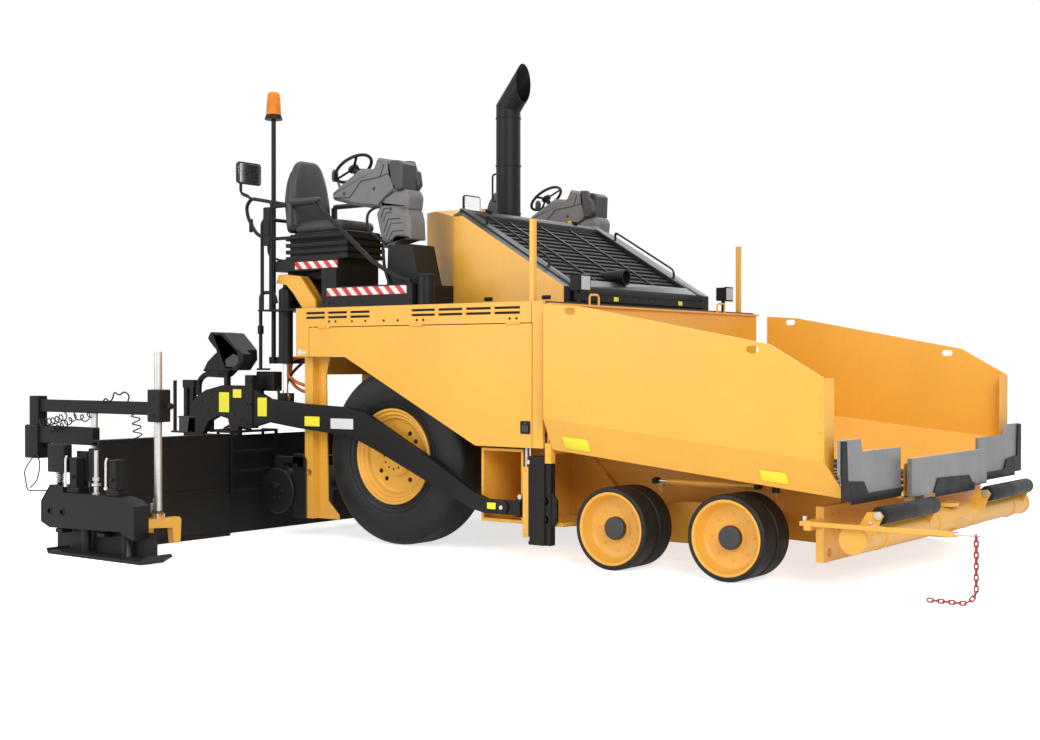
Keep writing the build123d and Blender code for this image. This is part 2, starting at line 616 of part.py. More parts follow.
def exhaust_stack():
    """Tall stack that leans forwards past a mitred knee and ends in an upright mouth, with its collar."""
    lean = math.radians(STACK_LEAN)

    def leaning(angle):
        return Plane(origin=(STACK_X, 0, STACK_KNEE_Z), x_dir=(0, 1, 0),
                     z_dir=(math.sin(angle), 0, math.cos(angle)))

    above = leaning(lean / 2) * Pos(0, 0, 5 * STACK_R) * Box(10 * STACK_R, 10 * STACK_R, 10 * STACK_R)

    def pipe(radius):
        lower = bar_z(STACK_X, 0, radius, (STACK_FOOT_Z, STACK_KNEE_Z + STACK_R))
        upper = leaning(lean) * Pos(0, 0, 2 * STACK_R) * Cylinder(radius, 6 * STACK_R)
        return (lower - above) + (upper & above)

    mouth = STACK_X + STACK_REACH
    beyond = block((mouth, mouth + 8 * STACK_R), (-2 * STACK_R, 2 * STACK_R),
                   (STACK_KNEE_Z - 2 * STACK_R, STACK_KNEE_Z + 8 * STACK_R))
    stack = pipe(STACK_R) - pipe(STACK_R - STACK_WALL) - beyond
    foot = bar_z(STACK_X, 0, STACK_R, (STACK_FOOT_Z, STACK_FOOT_Z + 25))
    collar = bar_z(STACK_X, 0, STACK_R + 30, (HOOD_TOP_Z, HOOD_TOP_Z + 14))
    collar -= bar_z(STACK_X, 0, STACK_R - 1, (HOOD_TOP_Z - 10, HOOD_TOP_Z + 20))
    return stack + foot + collar


def lamp():
    """Work lamp on a short bracket at the front corner of the deck."""
    body = block((LAMP_X - 50, LAMP_X + 30), (-LAMP_Y - 60, -LAMP_Y + 60), (LAMP_Z - 55, LAMP_Z + 55))
    stem = block((LAMP_X - 30, LAMP_X - 6), (-LAMP_Y - 10, -LAMP_Y + 10), (DECK_Z, LAMP_Z - 55))
    return body + stem


def station_platforms():
    """Black steel under each operator: footwell, seat box and the pedestal of the console."""
    inner = -HOOD_Y - GAP
    y = (-BODY_Y + 10, inner)
    pan = block((-600, 300), y, (DECK_Z, 1985)) - block((-560, 260), (y[0] + 30, y[1] - 30),
                                                        (DECK_Z + 90, 2000))
    tray = block((SEAT_X - 60, -480), (-BODY_Y + 30, inner), TRAY_Z)
    column = block((SEAT_X - 60, -700), (-LIFT_Y + 75, inner), (DECK_Z, TRAY_Z[0]))
    column -= block((SEAT_X + 60, -740), (-LIFT_Y + 74, inner + 1), (DECK_Z + 60, TRAY_Z[0] - 60))
    front = block((-640, -480), y, (DECK_Z, TRAY_Z[0]))
    pedestal = plate_y(((-60, DECK_Z + 90), (-46, NECK_LOW_Z), (194, NECK_LOW_Z), (290, DECK_Z + 90)),
                       (-STATION_Y - 130, -STATION_Y + 130))
    post = bar_z(368, -BODY_Y + 90, 66, (DECK_Z, 2040))
    return both(pan + tray + column + front + pedestal + post + seat_bellows())


def seat_bellows():
    """Bellows of a seat's suspension, as stacked folds."""
    base = Part()
    folds = 4
    step = (CUSHION_Z - 20 - TRAY_Z[1]) / folds
    for fold in range(folds):
        z = TRAY_Z[1] + fold * step
        base += block((SEAT_X + 60, SEAT_X + 740), (-STATION_Y - 215, -STATION_Y + 215), (z, z + step * 0.6))
        base += block((SEAT_X + 85, SEAT_X + 715), (-STATION_Y - 190, -STATION_Y + 190),
                      (z + step * 0.6, z + step))
    return base


def seats():
    """Seat cushion and back on each side, crowned like the real pads."""
    half = SEAT_WIDTH / 2
    y = (-STATION_Y - half, -STATION_Y + half)
    cushion = plate_y(((SEAT_X + 120, CUSHION_Z - 20), (SEAT_X + 120, CUSHION_Z + 90),
                       (SEAT_X + 660, CUSHION_Z + 100),
                       (SEAT_X + 740, CUSHION_Z + 40), (SEAT_X + 720, CUSHION_Z - 20)), y)
    back_face = Plane(origin=(SEAT_X + 60, -STATION_Y, 0), x_dir=(0, 1, 0), z_dir=(1, 0, 0))
    outline = make_face(Polyline((-half, CUSHION_Z - 20), (-half, CUSHION_Z + 330), (-150, BACK_TOP_Z - 60),
                                 (-90, BACK_TOP_Z), (90, BACK_TOP_Z), (150, BACK_TOP_Z - 60),
                                 (half, CUSHION_Z + 330), (half, CUSHION_Z - 20), close=True))
    back = extrude(back_face * outline, 115, dir=(1, 0, 0))
    return both(cushion + back - block((SEAT_X + 175, SEAT_X + 900), (-2000, 0), (CUSHION_Z + 101, 4000)))


def consoles():
    """Grey neck, elbow and arm that carry the wheel and switches back to the operator, with the display."""
    middle = -STATION_Y
    outlines = (
        (118, ((-60, NECK_LOW_Z), (-108, 2440), (-184, 2562), (-134, 2633), (21, 2612), (182, 2566),
               (246, 2523), (300, 2330), (262, NECK_LOW_Z))),
        (132, ((-175, 2599), (-142, 2656), (-44, 2704), (170, 2690), (206, 2620), (182, 2551), (38, 2585))),
        (140, ((-672, 2734), (-582, 2788), (-359, 2908), (-208, 2898), (-183, 2973), (10, 2940), (-43, 2846),
               (5, 2708), (-142, 2645), (-192, 2602), (-377, 2612), (-652, 2680))),
        (138, ((-43, 2931), (120, 2926), (207, 2842), (262, 2828), (293, 2735), (230, 2672), (54, 2702),
               (0, 2716))),
    )
    casing = Part()
    for half, outline in outlines:
        casing += plate_y(outline, (middle - half, middle + half))
    return both(casing + steering_wheel())


def steering_wheel():
    """Steering wheel with its column down to the console arm."""
    tilt = Pos(WHEEL_X, -STATION_Y, WHEEL_Z) * Rot(0, -WHEEL_TILT, 0)
    ring = tilt * Torus(WHEEL_R, WHEEL_GRIP)
    hub = tilt * Cylinder(45, 24)
    spokes = Part()
    for turn in (90, 210, 330):
        spokes += tilt * Rot(0, 0, turn) * Pos(WHEEL_R / 2, 0, 0) * Box(WHEEL_R, 24, 10)
    column = tilt * Pos(0, 0, -WHEEL_R / 2) * Cylinder(24, WHEEL_R)
    return ring + hub + spokes + column


def handrails():
    """Bent tubes round each station and the mirror on its arm."""
    outer = -BODY_Y + 12
    post_x = MAST_X + 20
    top = tube([(RAIL_POST_X, outer, DECK_Z - 5), (RAIL_POST_X, outer, RAIL_TOP_Z), (-715, outer, RAIL_TOP_Z),
                (-110, outer, 2170), (150, outer, 2035), (285, outer, 2004)], 17, 60)
    foot = block((262, 296), (outer - 10, outer + 10), (1985, 2001))
    middle = tube([(RAIL_POST_X, outer, 2390), (-385, outer, 2388)], 14, 0)
    rear = tube([(post_x, outer, DECK_Z - 5), (post_x, outer, 2560), (post_x, -900, 2560),
                 (post_x, -900, DECK_Z - 5)], 15, 60)
    floor = block((MAST_X - 20, BODY_REAR), (-BODY_Y, -860), (DECK_Z - DECK_WALL, DECK_Z))
    floor -= block((LIFT_TOP[0] - LIFT_R - 10, LIFT_TOP[0] + LIFT_R + 56),
                   (-LIFT_Y - LIFT_R - 8, -LIFT_Y + LIFT_R + 8),
                   (DECK_Z - 100, DECK_Z + 100))
    arm = tube([(RAIL_POST_X, outer, 2560), (RAIL_POST_X, outer, 2690), (-1400, outer, 2720),
                (-1560, outer, 2780),
                (-1560, outer, 2900)], 10, 40)
    mirror_case = slab_mirror(-1560)
    return both(top + foot + middle + rear + floor + arm + mirror_case + lamp()) + beacon_mast()


def slab_mirror(x):
    """Mirror in a thin case with rounded corners."""
    case = Plane(origin=(x - 12, MIRROR_Y, MIRROR_Z), x_dir=(0, 1, 0),
                 z_dir=(1, 0, 0)) * RectangleRounded(*MIRROR_SIZE, 25)
    return extrude(case, 24)


def beacon_mast():
    """Mast at the right rear corner with the disc under the beacon."""
    mast = bar_z(MAST_X, -MAST_Y, MAST_R, (1387, BEACON_Z[0] - 18))
    disc = bar_z(MAST_X, -MAST_Y, 72, (BEACON_Z[0] - 18, BEACON_Z[0]))
    clip = block((MAST_X - 60, MAST_X + 60), (-MAST_Y + 5, -MAST_Y + 65), (1387, 1443))
    return mast + disc + clip + block((MAST_X, POST_X[0]), (-MAST_Y + 25, -MAST_Y + 65), (1387, 1443))


def beacon_lens():
    profile = ((0, BEACON_Z[0]), (62, BEACON_Z[0]), (56, BEACON_Z[1] - 15), (44, BEACON_Z[1]),
               (0, BEACON_Z[1]))
    plane = Plane(origin=(MAST_X, -MAST_Y, 0), x_dir=(1, 0, 0), z_dir=(0, -1, 0))
    return revolve(plane * make_face(Polyline(*profile, close=True)), Axis((MAST_X, -MAST_Y, 0), (0, 0, 1)))


def hinge_z(x):
    """Height of the wings' hinge line, which falls towards the front like the hopper floor."""
    return WING_HINGE_Z - HOPPER_SLOPE * (x - WING_REAR)


def sloped(outline, x):
    """An outline of (y, z) points, drawn at the rear of the hopper, carried forwards down its slope."""
    drop = HOPPER_SLOPE * (x[0] - WING_REAR)
    plane = Plane(origin=(x[0], 0, -drop), x_dir=(0, 1, 0), z_dir=(1, 0, 0))
    length = (x[1] - x[0]) * math.hypot(1, HOPPER_SLOPE)
    return extrude(plane * make_face(Polyline(*outline, close=True)), length, dir=(1, 0, -HOPPER_SLOPE))


def hinge_bar(radius, x):
    """A round bar on the right wing's hinge line."""
    plane = Plane(origin=(x[0], -WING_HINGE_Y, hinge_z(x[0])), z_dir=(1, 0, -HOPPER_SLOPE))
    return extrude(plane * Circle(radius), (x[1] - x[0]) * math.hypot(1, HOPPER_SLOPE))


def hinge_spans():
    """Five equal lengths of the hinge line: the wing has the odd ones and the floor the even ones."""
    start, end = WING_REAR + 20, WING_FRONT
    step = (end - start) / 5
    return [(start + index * step + GAP / 2, start + (index + 1) * step - GAP / 2) for index in range(5)]


def hopper_wing():
    """Folding side of the hopper: outer wall, bent lower wall and floor leaf, with lifting slots."""
    w = WING_WALL
    y, low_y, root = -WING_Y, -WING_LOW_Y, -WING_HINGE_Y - 34
    rise = (WING_LOW_Z - WING_HINGE_Z) / (WING_LOW_Y - WING_HINGE_Y)
    root_z = WING_HINGE_Z + rise * 34
    shell = sloped(((y, 2200), (y, WING_BEND_Z), (low_y, WING_LOW_Z), (root, root_z), (root, root_z + w),
                    (low_y + w * 0.6, WING_LOW_Z + w), (y + w, WING_BEND_Z + 3), (y + w, 2200)),
                   (WING_REAR, WING_TIP))
    outline = plate_y(((WING_REAR, 400), (WING_REAR, WING_REAR_Z), WING_SHOULDER, WING_DROP,
                       (WING_FRONT, WING_FRONT_Z), (WING_FRONT, 800), (WING_TIP, 640), (WING_TIP, 400)),
                      (-WING_Y - 10, 0))
    wing = shell & outline
    for x, z in SLOT_PLACES:
        slot = SlotOverall(SLOT_SIZE[0], SLOT_SIZE[1])
        plane = Plane(origin=(x, -WING_Y + 40, z), x_dir=(1, 0, 0), z_dir=(0, -1, 0))
        wing -= extrude(plane * slot, 80)
    for span in hinge_spans()[::2]:
        leaf = sloped(((root, root_z), (root, root_z + w), (-WING_HINGE_Y, WING_HINGE_Z + 12),
                       (-WING_HINGE_Y, WING_HINGE_Z - 8)), span)
        wing += leaf + hinge_bar(22, span)
        wing -= hinge_bar(12 + PIN_GAP, (span[0] - 10, span[1] + 10))
    return wing


def side_apron():
    """Grey plate at the front of each wing."""
    outline = ((-SIDE_APRON_Y, 725), (-SIDE_APRON_Y, 930), (-1345, 930), (-1315, 852), (-718, 852),
               (-718, 560), (-1500, 560))
    return plate_x(outline, (WING_TIP, WING_TIP + 20))


def mid_apron():
    """Centre plate in front of the hopper floor, with its two brackets."""
    outline = ((-MID_APRON_Y, MID_APRON_Z[0]), (-MID_APRON_Y, MID_APRON_Z[1]), (MID_APRON_Y, MID_APRON_Z[1]),
               (MID_APRON_Y, MID_APRON_Z[0]))
    plate = plate_x(outline, MID_APRON_X)
    bracket = block((PAN_TIP, MID_APRON_X[0]), (-420, -380), (hinge_z(PAN_TIP) - 40, hinge_z(PAN_TIP) + 120))
    return plate + both(bracket)


def hopper_floor():
    """Rear wall of the hopper with the conveyor outlets, floor pan, hinge pins and their lugs."""
    half = BODY_Y - BODY_WALL
    back = block(HOPPER_BACK, (-half, half), (RAIL_Z[1] + 16, WING_REAR_Z))
    back += block(HOPPER_BACK, (-FRAME_Y, FRAME_Y), (FRAME_HIGH_Z, RAIL_Z[1] + 16))
    flange = block((BODY_FRONT, HOPPER_BACK[1] + 25), (-half, half), (WING_REAR_Z, WING_REAR_Z + 14))
    tunnel = block((HOPPER_BACK[0] - 1, HOPPER_BACK[1] + 1), (-TUNNEL_Y, -20), (WING_HINGE_Z + 14, 1120))
    pan = sloped(((-683, WING_HINGE_Z - FLOOR_WALL), (-683, WING_HINGE_Z), (683, WING_HINGE_Z),
                  (683, WING_HINGE_Z - FLOOR_WALL)), (HOPPER_BACK[1] - 5, PAN_TIP))
    keel = Part()
    for x in (1700, 2400, 3100):
        keel += block((x, x + 60), (-FRAME_Y + FRAME_WALL, FRAME_Y - FRAME_WALL),
                      (hinge_z(x) - 130, hinge_z(x) - 36))
        keel += block((x, x + 60), (-TUNNEL_Y, TUNNEL_Y), (hinge_z(x) - 37, hinge_z(x) - FLOOR_WALL))
    lugs = Part()
    for span in hinge_spans()[1::2]:
        lugs += hinge_bar(22, span)
        lugs += sloped(((-702, WING_HINGE_Z - FLOOR_WALL), (-702, WING_HINGE_Z), (-682, WING_HINGE_Z),
                        (-682, WING_HINGE_Z - FLOOR_WALL)), span)
    lugs += hinge_bar(12, (hinge_spans()[0][0], hinge_spans()[-1][1]))
    eyes = tube([(1520, -1000, WING_REAR_Z + 14), (1520, -1000, WING_REAR_Z + 90),
                 (1520, -880, WING_REAR_Z + 90),
                 (1520, -880, WING_REAR_Z + 14)], 8, 25)
    return back + flange + pan + keel + both(lugs + eyes) - both(tunnel)


def conveyor():
    """Two chain conveyors that run from the hopper back to the augers, as fixed loops."""
    floor = block((CONVEYOR_REAR, HOPPER_BACK[0]), (-TUNNEL_Y, TUNNEL_Y), (WING_HINGE_Z - 14, WING_HINGE_Z))
    lanes = Part()
    for y in (-640, -360, -310, -30):
        lanes += sloped(((y, WING_HINGE_Z), (y, WING_HINGE_Z + 26), (y + 22, WING_HINGE_Z + 26),
                         (y + 22, WING_HINGE_Z)), (HOPPER_BACK[1], PAN_TIP - 30))
    for index in range(FLIGHTS):
        x = HOPPER_BACK[1] + 100 + index * (PAN_TIP - HOPPER_BACK[1] - 160) / FLIGHTS
        for y in (-640, -310):
            lanes += sloped(((y + 10, WING_HINGE_Z + 4), (y + 10, WING_HINGE_Z + 20),
                             (y + 290, WING_HINGE_Z + 20),
                             (y + 290, WING_HINGE_Z + 4)), (x, x + 40))
    hangers = both(block((CONVEYOR_REAR, CONVEYOR_REAR + 60), (-FRAME_Y + FRAME_WALL, -TUNNEL_Y),
                         (WING_HINGE_Z - 14, WING_HINGE_Z + 200)))
    return floor + both(lanes) + hangers


def push_beam():
    """Cross tube that pushes the truck, on a centre pin, with the brackets of its rollers."""
    beam = bar_y(PUSH_X, PUSH_Z, PUSH_R, (-PUSH_Y, PUSH_Y))
    beam += bar_y(PUSH_X, PUSH_Z, PUSH_R + 6, (-300, 300))
    beam -= bar_z(PUSH_X, 0, PUSH_PIN_R + PIN_GAP, (100, 600))
    bracket = Part()
    for y in (ROLLER_Y[0] - GAP, ROLLER_Y[1] + GAP + 16):
        ear = plate_y(((PUSH_X - 20, PUSH_Z + 60), (PUSH_X + 40, ROLLER_Z + 20),
                       (ROLLER_X + 10, ROLLER_Z + 28),
                       (ROLLER_X + 32, ROLLER_Z), (ROLLER_X + 10, ROLLER_Z - 40), (PUSH_X + 70, PUSH_Z - 20)),
                      (-y, -y + 16))
        bracket += ear
    bracket -= bar_y(ROLLER_X, ROLLER_Z, ROLLER_PIN_R + PIN_GAP, (-1500, -400))
    return beam + both(bracket)


def push_roller():
    """Rubber-faced roller on its own stub shafts."""
    shaft = bar_y(ROLLER_X, ROLLER_Z, ROLLER_PIN_R, (-ROLLER_Y[1] - 22, -ROLLER_Y[0] + 22))
    return bar_y(ROLLER_X, ROLLER_Z, ROLLER_R, (-ROLLER_Y[1], -ROLLER_Y[0])) + shaft


def tow_points():
    """Upright slide on each side of the frame with the block and pin that pull the screed."""
    rail = block(RAIL_X, (-BODY_Y, -1480), RAIL_Z) - block((RAIL_X[0] + 60, RAIL_X[1] - 60),
                                                           (-BODY_Y - 1, -BODY_Y + 22),
                                                         (RAIL_Z[0] + 60, RAIL_Z[1] - 60))
    strip = block((RAIL_X[0] - 40, RAIL_X[0]), (-BODY_Y + 10, -1480), (RAIL_Z[0] + 50, RAIL_Z[1] - 80))
    rods = Part()
    for x in (RAIL_X[0] - 34, RAIL_X[0] - 12):
        rods += bar_z(x, -BODY_Y + 60, 9, (RAIL_Z[1] - 80, 860))
    seat = block((1330, 1400), (-BODY_Y + 40, -FRAME_Y), (860, 890))
    carrier = block((TOW_PIN[0] - 70, RAIL_X[0]), (-1494, -1480), (TOW_PIN[1] - 70, TOW_PIN[1] + 70))
    pin = bar_y(*TOW_PIN, TOW_PIN_R, (-ARM_Y[1] - 20, -1481)) + bar_y(*TOW_PIN, TOW_PIN_R + 14,
                                                                      (-ARM_Y[1] - 20, -ARM_Y[1] - GAP))
    return both(rail + strip + rods + seat + carrier + pin)


def tow_arms():
    """The two long arms that pull the screed, with the ears for the lift cylinders."""
    outline = ((1298, 420), (1298, 322), (985, 320), (860, 345), (-60, 728), (-330, 828), (-900, 876),
               (-1240, 915),
               (-1420, 870), (-1420, 1180), (-1237, 1104), (-840, 1070), (-400, 1052), (-180, 1010),
               (450, 700),
               (900, 455), (1003, 420))
    arm = plate_y(outline, (-ARM_Y[1], -ARM_Y[0])) - bar_y(*TOW_PIN, TOW_PIN_R + PIN_GAP, (-1600, -1400))
    x = LIFT_EYE[0]
    ears = Part()
    for y in ((-ARM_Y[0], -LIFT_Y - 25), (-LIFT_Y + 25, -LIFT_Y + 50)):
        ears += block((x - 45, x + 45), y, (LIFT_EYE[1] - 100, LIFT_EYE[1] + 40))
    ears += block((x - 45, x + 45), (-ARM_Y[0], -LIFT_Y + 50), (LIFT_EYE[1] - 100, LIFT_EYE[1] - 75))
    yoke = plate_y(YOKE, (-ARM_Y[1] + 5, -ARM_Y[0] + 10)) + block((-1502, -1417),
                                                                  (-ARM_Y[1] - 12, -ARM_Y[0] + 15),
                                                                  (EXT_Z + 40, 1294))
    return both(arm + ears + yoke)


def screed_frame():
    """Main screed: moldboard, end plates, sole and covers, with holes for the extensions' tubes."""
    front, rear, half = SCREED_FRONT, SCREED_REAR, SCREED_Y
    board = block((front - 15, front), (-EXT_Y[0] - 40, EXT_Y[0] + 40), (0, SCREED_Z))
    sole = block((rear, front - 15), (-half - 25, half + 25), (0, 14))
    back = block((rear, rear + 15), (-half - 25, half + 25), (14, 560))
    cover = block((rear, front - 15), (-half - 25, half + 25), (560, 575))
    end = block((rear, front - 15), (-half - 25, -half + 5), (14, SCREED_Z))
    lug = block((-2300, -1605), (-half - 25, -half + 5), (575, SCREED_Z))
    holes = Part()
    for x in EXT_TUBE_X:
        holes += bar_y(x, EXT_TUBE_Z, EXT_TUBE_R + SEAT_GAP, (-half - 60, -half + 60))
    return board + sole + back + cover + both(end + lug - holes + screed_guard()) + screed_walkway()


def screed_guard():
    """Barred guard in front of the main screed, held clear over the top of the extension."""
    front = EXT_X[0] + 15
    guard = Part()
    for y in (-1760, -1270):
        guard += block((SCREED_FRONT - 15, SCREED_FRONT), (y, y + 20), (SCREED_Z, EXT_Z + 28))
        guard += block((SCREED_FRONT - 15, front + 22), (y, y + 20), (EXT_Z + 8, EXT_Z + 28))
        guard += block((front, front + 22), (y, y + 20), (345, EXT_Z + 28))
    for z in (345, 505, 665, EXT_Z + 8):
        guard += block((front, front + 22), (-1760, -1250), (z, z + 20))
    return guard


def screed_walkway():
    """Walkway behind the screed, its brackets and steps, and the two screed control boxes."""
    deck = block((WALK_REAR, SCREED_REAR - GAP), (-SCREED_Y, SCREED_Y), (WALK_Z - 20, WALK_Z))
    kick = block((WALK_REAR, WALK_REAR + 12), (-SCREED_Y, SCREED_Y), (WALK_Z, WALK_Z + 120))
    stand = Part()
    for y in (-1100, -400):
        stand += plate_y(((SCREED_REAR, 120), (SCREED_REAR, WALK_Z - 20), (WALK_REAR + 200, WALK_Z - 20)),
                         (y, y + 15))
        stand += block((SCREED_REAR - GAP - 1, SCREED_REAR), (y, y + 15), (120, WALK_Z))
    post = block((-1780, -1740), (-1535, -1495), (YOKE_TOP, 1332))
    box = plate_y(((-1915, 1600), (-1880, 1650), (-1720, 1640), (-1560, 1500), (-1555, 1420), (-1640, 1332),
                   (-1780, 1332), (-1810, 1500), (-1890, 1570)), (-1590, -1370))
    return deck + kick + both(stand + post + box)


def screed_extension():
    """Extension that slides out of the main screed: front wall, sole, end box and its tubes."""
    y = (-EXT_Y[1], -EXT_Y[0])
    front, back = EXT_X[0], SCREED_FRONT + 10
    slant = y[0] + 75
    wall = plate_x(((y[0], 0), (y[0], EXT_BOX_Z), (slant, EXT_Z), (y[1], EXT_Z), (y[1], 0)),
                   (front - EXT_WALL, front))
    top = block((back, front), (slant, y[1]), (EXT_Z - EXT_WALL, EXT_Z))
    sole = block((back, front), y, (0, EXT_WALL))
    ends = block((back, front), (y[0], y[0] + EXT_WALL), (0, EXT_BOX_Z)) + block((back, front),
                                                                                 (y[1] - EXT_WALL, y[1]),
                                                                                 (0, EXT_Z))
    box_y = (y[0], y[0] + 320)
    box = block((EXT_X[1], back), box_y, (0, EXT_BOX_Z))
    box -= block((EXT_X[1] + EXT_WALL, back + 1), (box_y[0] + EXT_WALL, box_y[1] - EXT_WALL),
                 (EXT_WALL, EXT_BOX_Z - EXT_WALL))
    tubes = Part()
    for x in EXT_TUBE_X:
        tubes += bar_y(x, EXT_TUBE_Z, EXT_TUBE_R, (box_y[0] + EXT_WALL, -1300))
    return wall + top + sole + ends + box + tubes


def end_gate():
    """End gate with its ski and jacks, and the sensor arm above it."""
    rear, front = GATE_X
    plate = plate_y(((rear, 216), (rear, 370), (rear + 110, GATE_HORN_Z), (rear + 265, GATE_HORN_Z),
                     (rear + 265, GATE_Z[1]),
                     (front - 175, GATE_Z[1]), (front - 65, GATE_Z[1] - 22), (front, GATE_Z[1] - 58),
                     (front, GATE_Z[0]),
                     (front - 65, GATE_Z[0] + 14), (front - 160, 200), (rear + 105, 178)),
                     (-GATE_Y[1], -GATE_Y[0]))
    for x in (rear + 105, rear + 255):
        plate -= bar_y(x, 300, 27, (-GATE_Y[1] - 1, -GATE_Y[0] + 1))
    mount = block((-1560, -1490), (-GATE_Y[0], -EXT_Y[1]), (200, 420))
    ski = plate_y(((SKI_X[0], 0), (SKI_X[0] - 20, 40), (SKI_X[0], 24), (SKI_X[1] - 60, 24),
                   (SKI_X[1] + 30, 68),
                   (SKI_X[1] + 50, 48), (SKI_X[1] - 50, 0)), (-SKI_Y[1], -SKI_Y[0]))
    skirt = block((SKI_X[0] + 60, SKI_X[1] - 100), (-3112, -3100), (24, GATE_Z[0] + 50))
    legs = Part()
    for x in LEG_X:
        legs += bar_z(x, -3160, 33, (24, GATE_Z[0] + 50))
        legs += block((x - 190, x - 50), (-3195, -3105), (GATE_Z[1] - 5, GATE_Z[1] + 42))
        legs += block((x - 160, x - 80), (-3190, -3120), (GATE_Z[1] + 42, 690))
    carriage = block((LEG_X[0] - 180, LEG_X[0] - 65), (-3110, -3090), (GATE_Z[1] - 5, 742))
    carriage += block((LEG_X[0] - 10, LEG_X[0] + 62), (-3130, -3090), (GATE_Z[1] - 5, 766))
    carriage += block((-1855, -1665), (-3180, -3110), (GATE_HORN_Z + 90, 788)) + bar_z(-1760, -3145, 18,
                                                                                       (GATE_HORN_Z - 5,
                                                                                        GATE_HORN_Z + 92))
    arm = block((SENSE_ARM_REAR, POLE_X - POLE_R - 10), (-POLE_Y - 25, -POLE_Y + 25), SENSE_ARM_Z)
    clamp = block((POLE_X - 55, POLE_X + 55), (-POLE_Y - 52, -POLE_Y + 52), (968, 1196))
    clamp -= bar_z(POLE_X, -POLE_Y, POLE_R, (900, 1250))
    head = block((SENSE_ARM_REAR - 105, SENSE_ARM_REAR), (-POLE_Y - 40, -POLE_Y + 40), (905, 1131))
    head += block((SENSE_ARM_REAR - 137, SENSE_ARM_REAR + 22), (-POLE_Y - 62, -POLE_Y + 62), (652, 905))
    stay = bar_z(-1738, -POLE_Y, 24, (560, SENSE_ARM_Z[0]))
    return plate + mount + ski + skirt + legs + carriage + arm + clamp + head + stay + grade_pole()


def grade_pole():
    """Bright upright pole on its yellow bracket, in front of the end gate."""
    pole = bar_z(POLE_X, -POLE_Y, POLE_R, (265, POLE_TOP_Z))
    foot = bar_z(POLE_X, -POLE_Y, POLE_R + 12, (265, 320))
    bracket = plate_x(((-GATE_Y[0], 90), (-GATE_Y[0], 265), (-2680, 265), (-2662, 245), (-2672, 75),
                       (-2730, 75),
                       (-2745, 190), (-3000, 205), (-3005, 90)), (POLE_X - 30, POLE_X + 30))
    return pole + foot + bracket


def auger():
    """Auger on the right: tube with blades set along a screw line."""
    shaft = bar_y(AUGER_X, AUGER_Z, AUGER_TUBE_R, (-AUGER_Y[1], -AUGER_Y[0]))
    shaft += bar_y(AUGER_X, AUGER_Z, JOURNAL_R, (-AUGER_Y[1] - 28, -JOURNAL_INNER))
    count = int((AUGER_Y[1] - AUGER_Y[0] - 60) / (AUGER_PITCH / 4))
    for index in range(count):
        y = AUGER_Y[0] + 40 + index * AUGER_PITCH / 4
        sector = extrude(Plane(origin=(AUGER_X, -y, AUGER_Z), x_dir=(1, 0, 0), z_dir=(0, -1, 0))
                         * Rot(0, 0, index * 90) * make_face(Polyline((0, 0), (AUGER_R * 0.98, 0),
                                                                      (AUGER_R * 0.7, AUGER_R * 0.7),
                                                                  (0, AUGER_R * 0.98), close=True)),
                                                                  AUGER_BLADE)
        shaft += sector
    return shaft


def auger_case():
    """Chain case between the augers and the outer bearings that hang from the frame."""
    case = block((AUGER_X - 90, AUGER_X + 90), (-CASE_Y, CASE_Y), (200, 560))
    back = block((AUGER_X + 90, POST_X[0]), (-60, 60), (420, 560))
    outer = -AUGER_Y[1] - 30
    beam = block((POST_X[0] - 60, POST_X[0]), (outer, -outer), (560, 640))
    bearing = block((AUGER_X - 45, AUGER_X + 45), (outer, outer + 22), (AUGER_Z - 55, 640))
    reach = block((AUGER_X - 20, POST_X[0] - 60), (outer, outer + 22), (590, 640))
    hanger = case + back + beam + both(bearing + reach)
    for y in (-AUGER_Y[1] - 40, JOURNAL_INNER - 4):
        hanger -= both(bar_y(AUGER_X, AUGER_Z, JOURNAL_R + PIN_GAP, (y, y + 100 if y < 0 else CASE_Y + 1)))
    return hanger


def lift_bracket():
    """Yellow cheeks on the deck that hold the top pin of each screed lift cylinder."""
    cheek = Part()
    for y in ((-LIFT_Y - 50, -LIFT_Y - 28), (-LIFT_Y + 28, -LIFT_Y + 50)):
        cheek += plate_y(((-1195, 2035), (-1165, 2104), (-1105, 2104), (-923, 2085), (-751, 1886),
                          (-751, DECK_Z),
                          (-895, DECK_Z), (-1000, 1950), (-1080, 2020)), y)
    return cheek + bar_y(*LIFT_TOP, LIFT_PIN_R, (-LIFT_Y - 55, -LIFT_Y + 55))


def lift_barrel():
    x, z = LIFT_TOP
    bore = LIFT_ROD_R + PIN_GAP
    plane = Plane(origin=(x, -LIFT_Y, 0), x_dir=(1, 0, 0), z_dir=(0, -1, 0))
    profile = ((bore, z - LIFT_BARREL), (LIFT_R, z - LIFT_BARREL), (LIFT_R, z - 88), (24, z - 66),
               (24, z - 10),
               (0, z - 10), (0, z - 120), (bore, z - 120))
    barrel = revolve(plane * make_face(Polyline(*profile, close=True)), Axis((x, -LIFT_Y, 0), (0, 0, 1)))
    eye = bar_y(x, z, 38, (-LIFT_Y - 23, -LIFT_Y + 23))
    return barrel + eye - bar_y(x, z, LIFT_PIN_R + PIN_GAP, (-LIFT_Y - 60, -LIFT_Y + 60))


def lift_rod():
    x, z = LIFT_EYE
    rod = bar_z(x, -LIFT_Y, LIFT_ROD_R, (z, LIFT_TOP[1] - LIFT_BARREL + 100))
    return rod + bar_y(x, z, 36, (-LIFT_Y - 20, -LIFT_Y + 20))


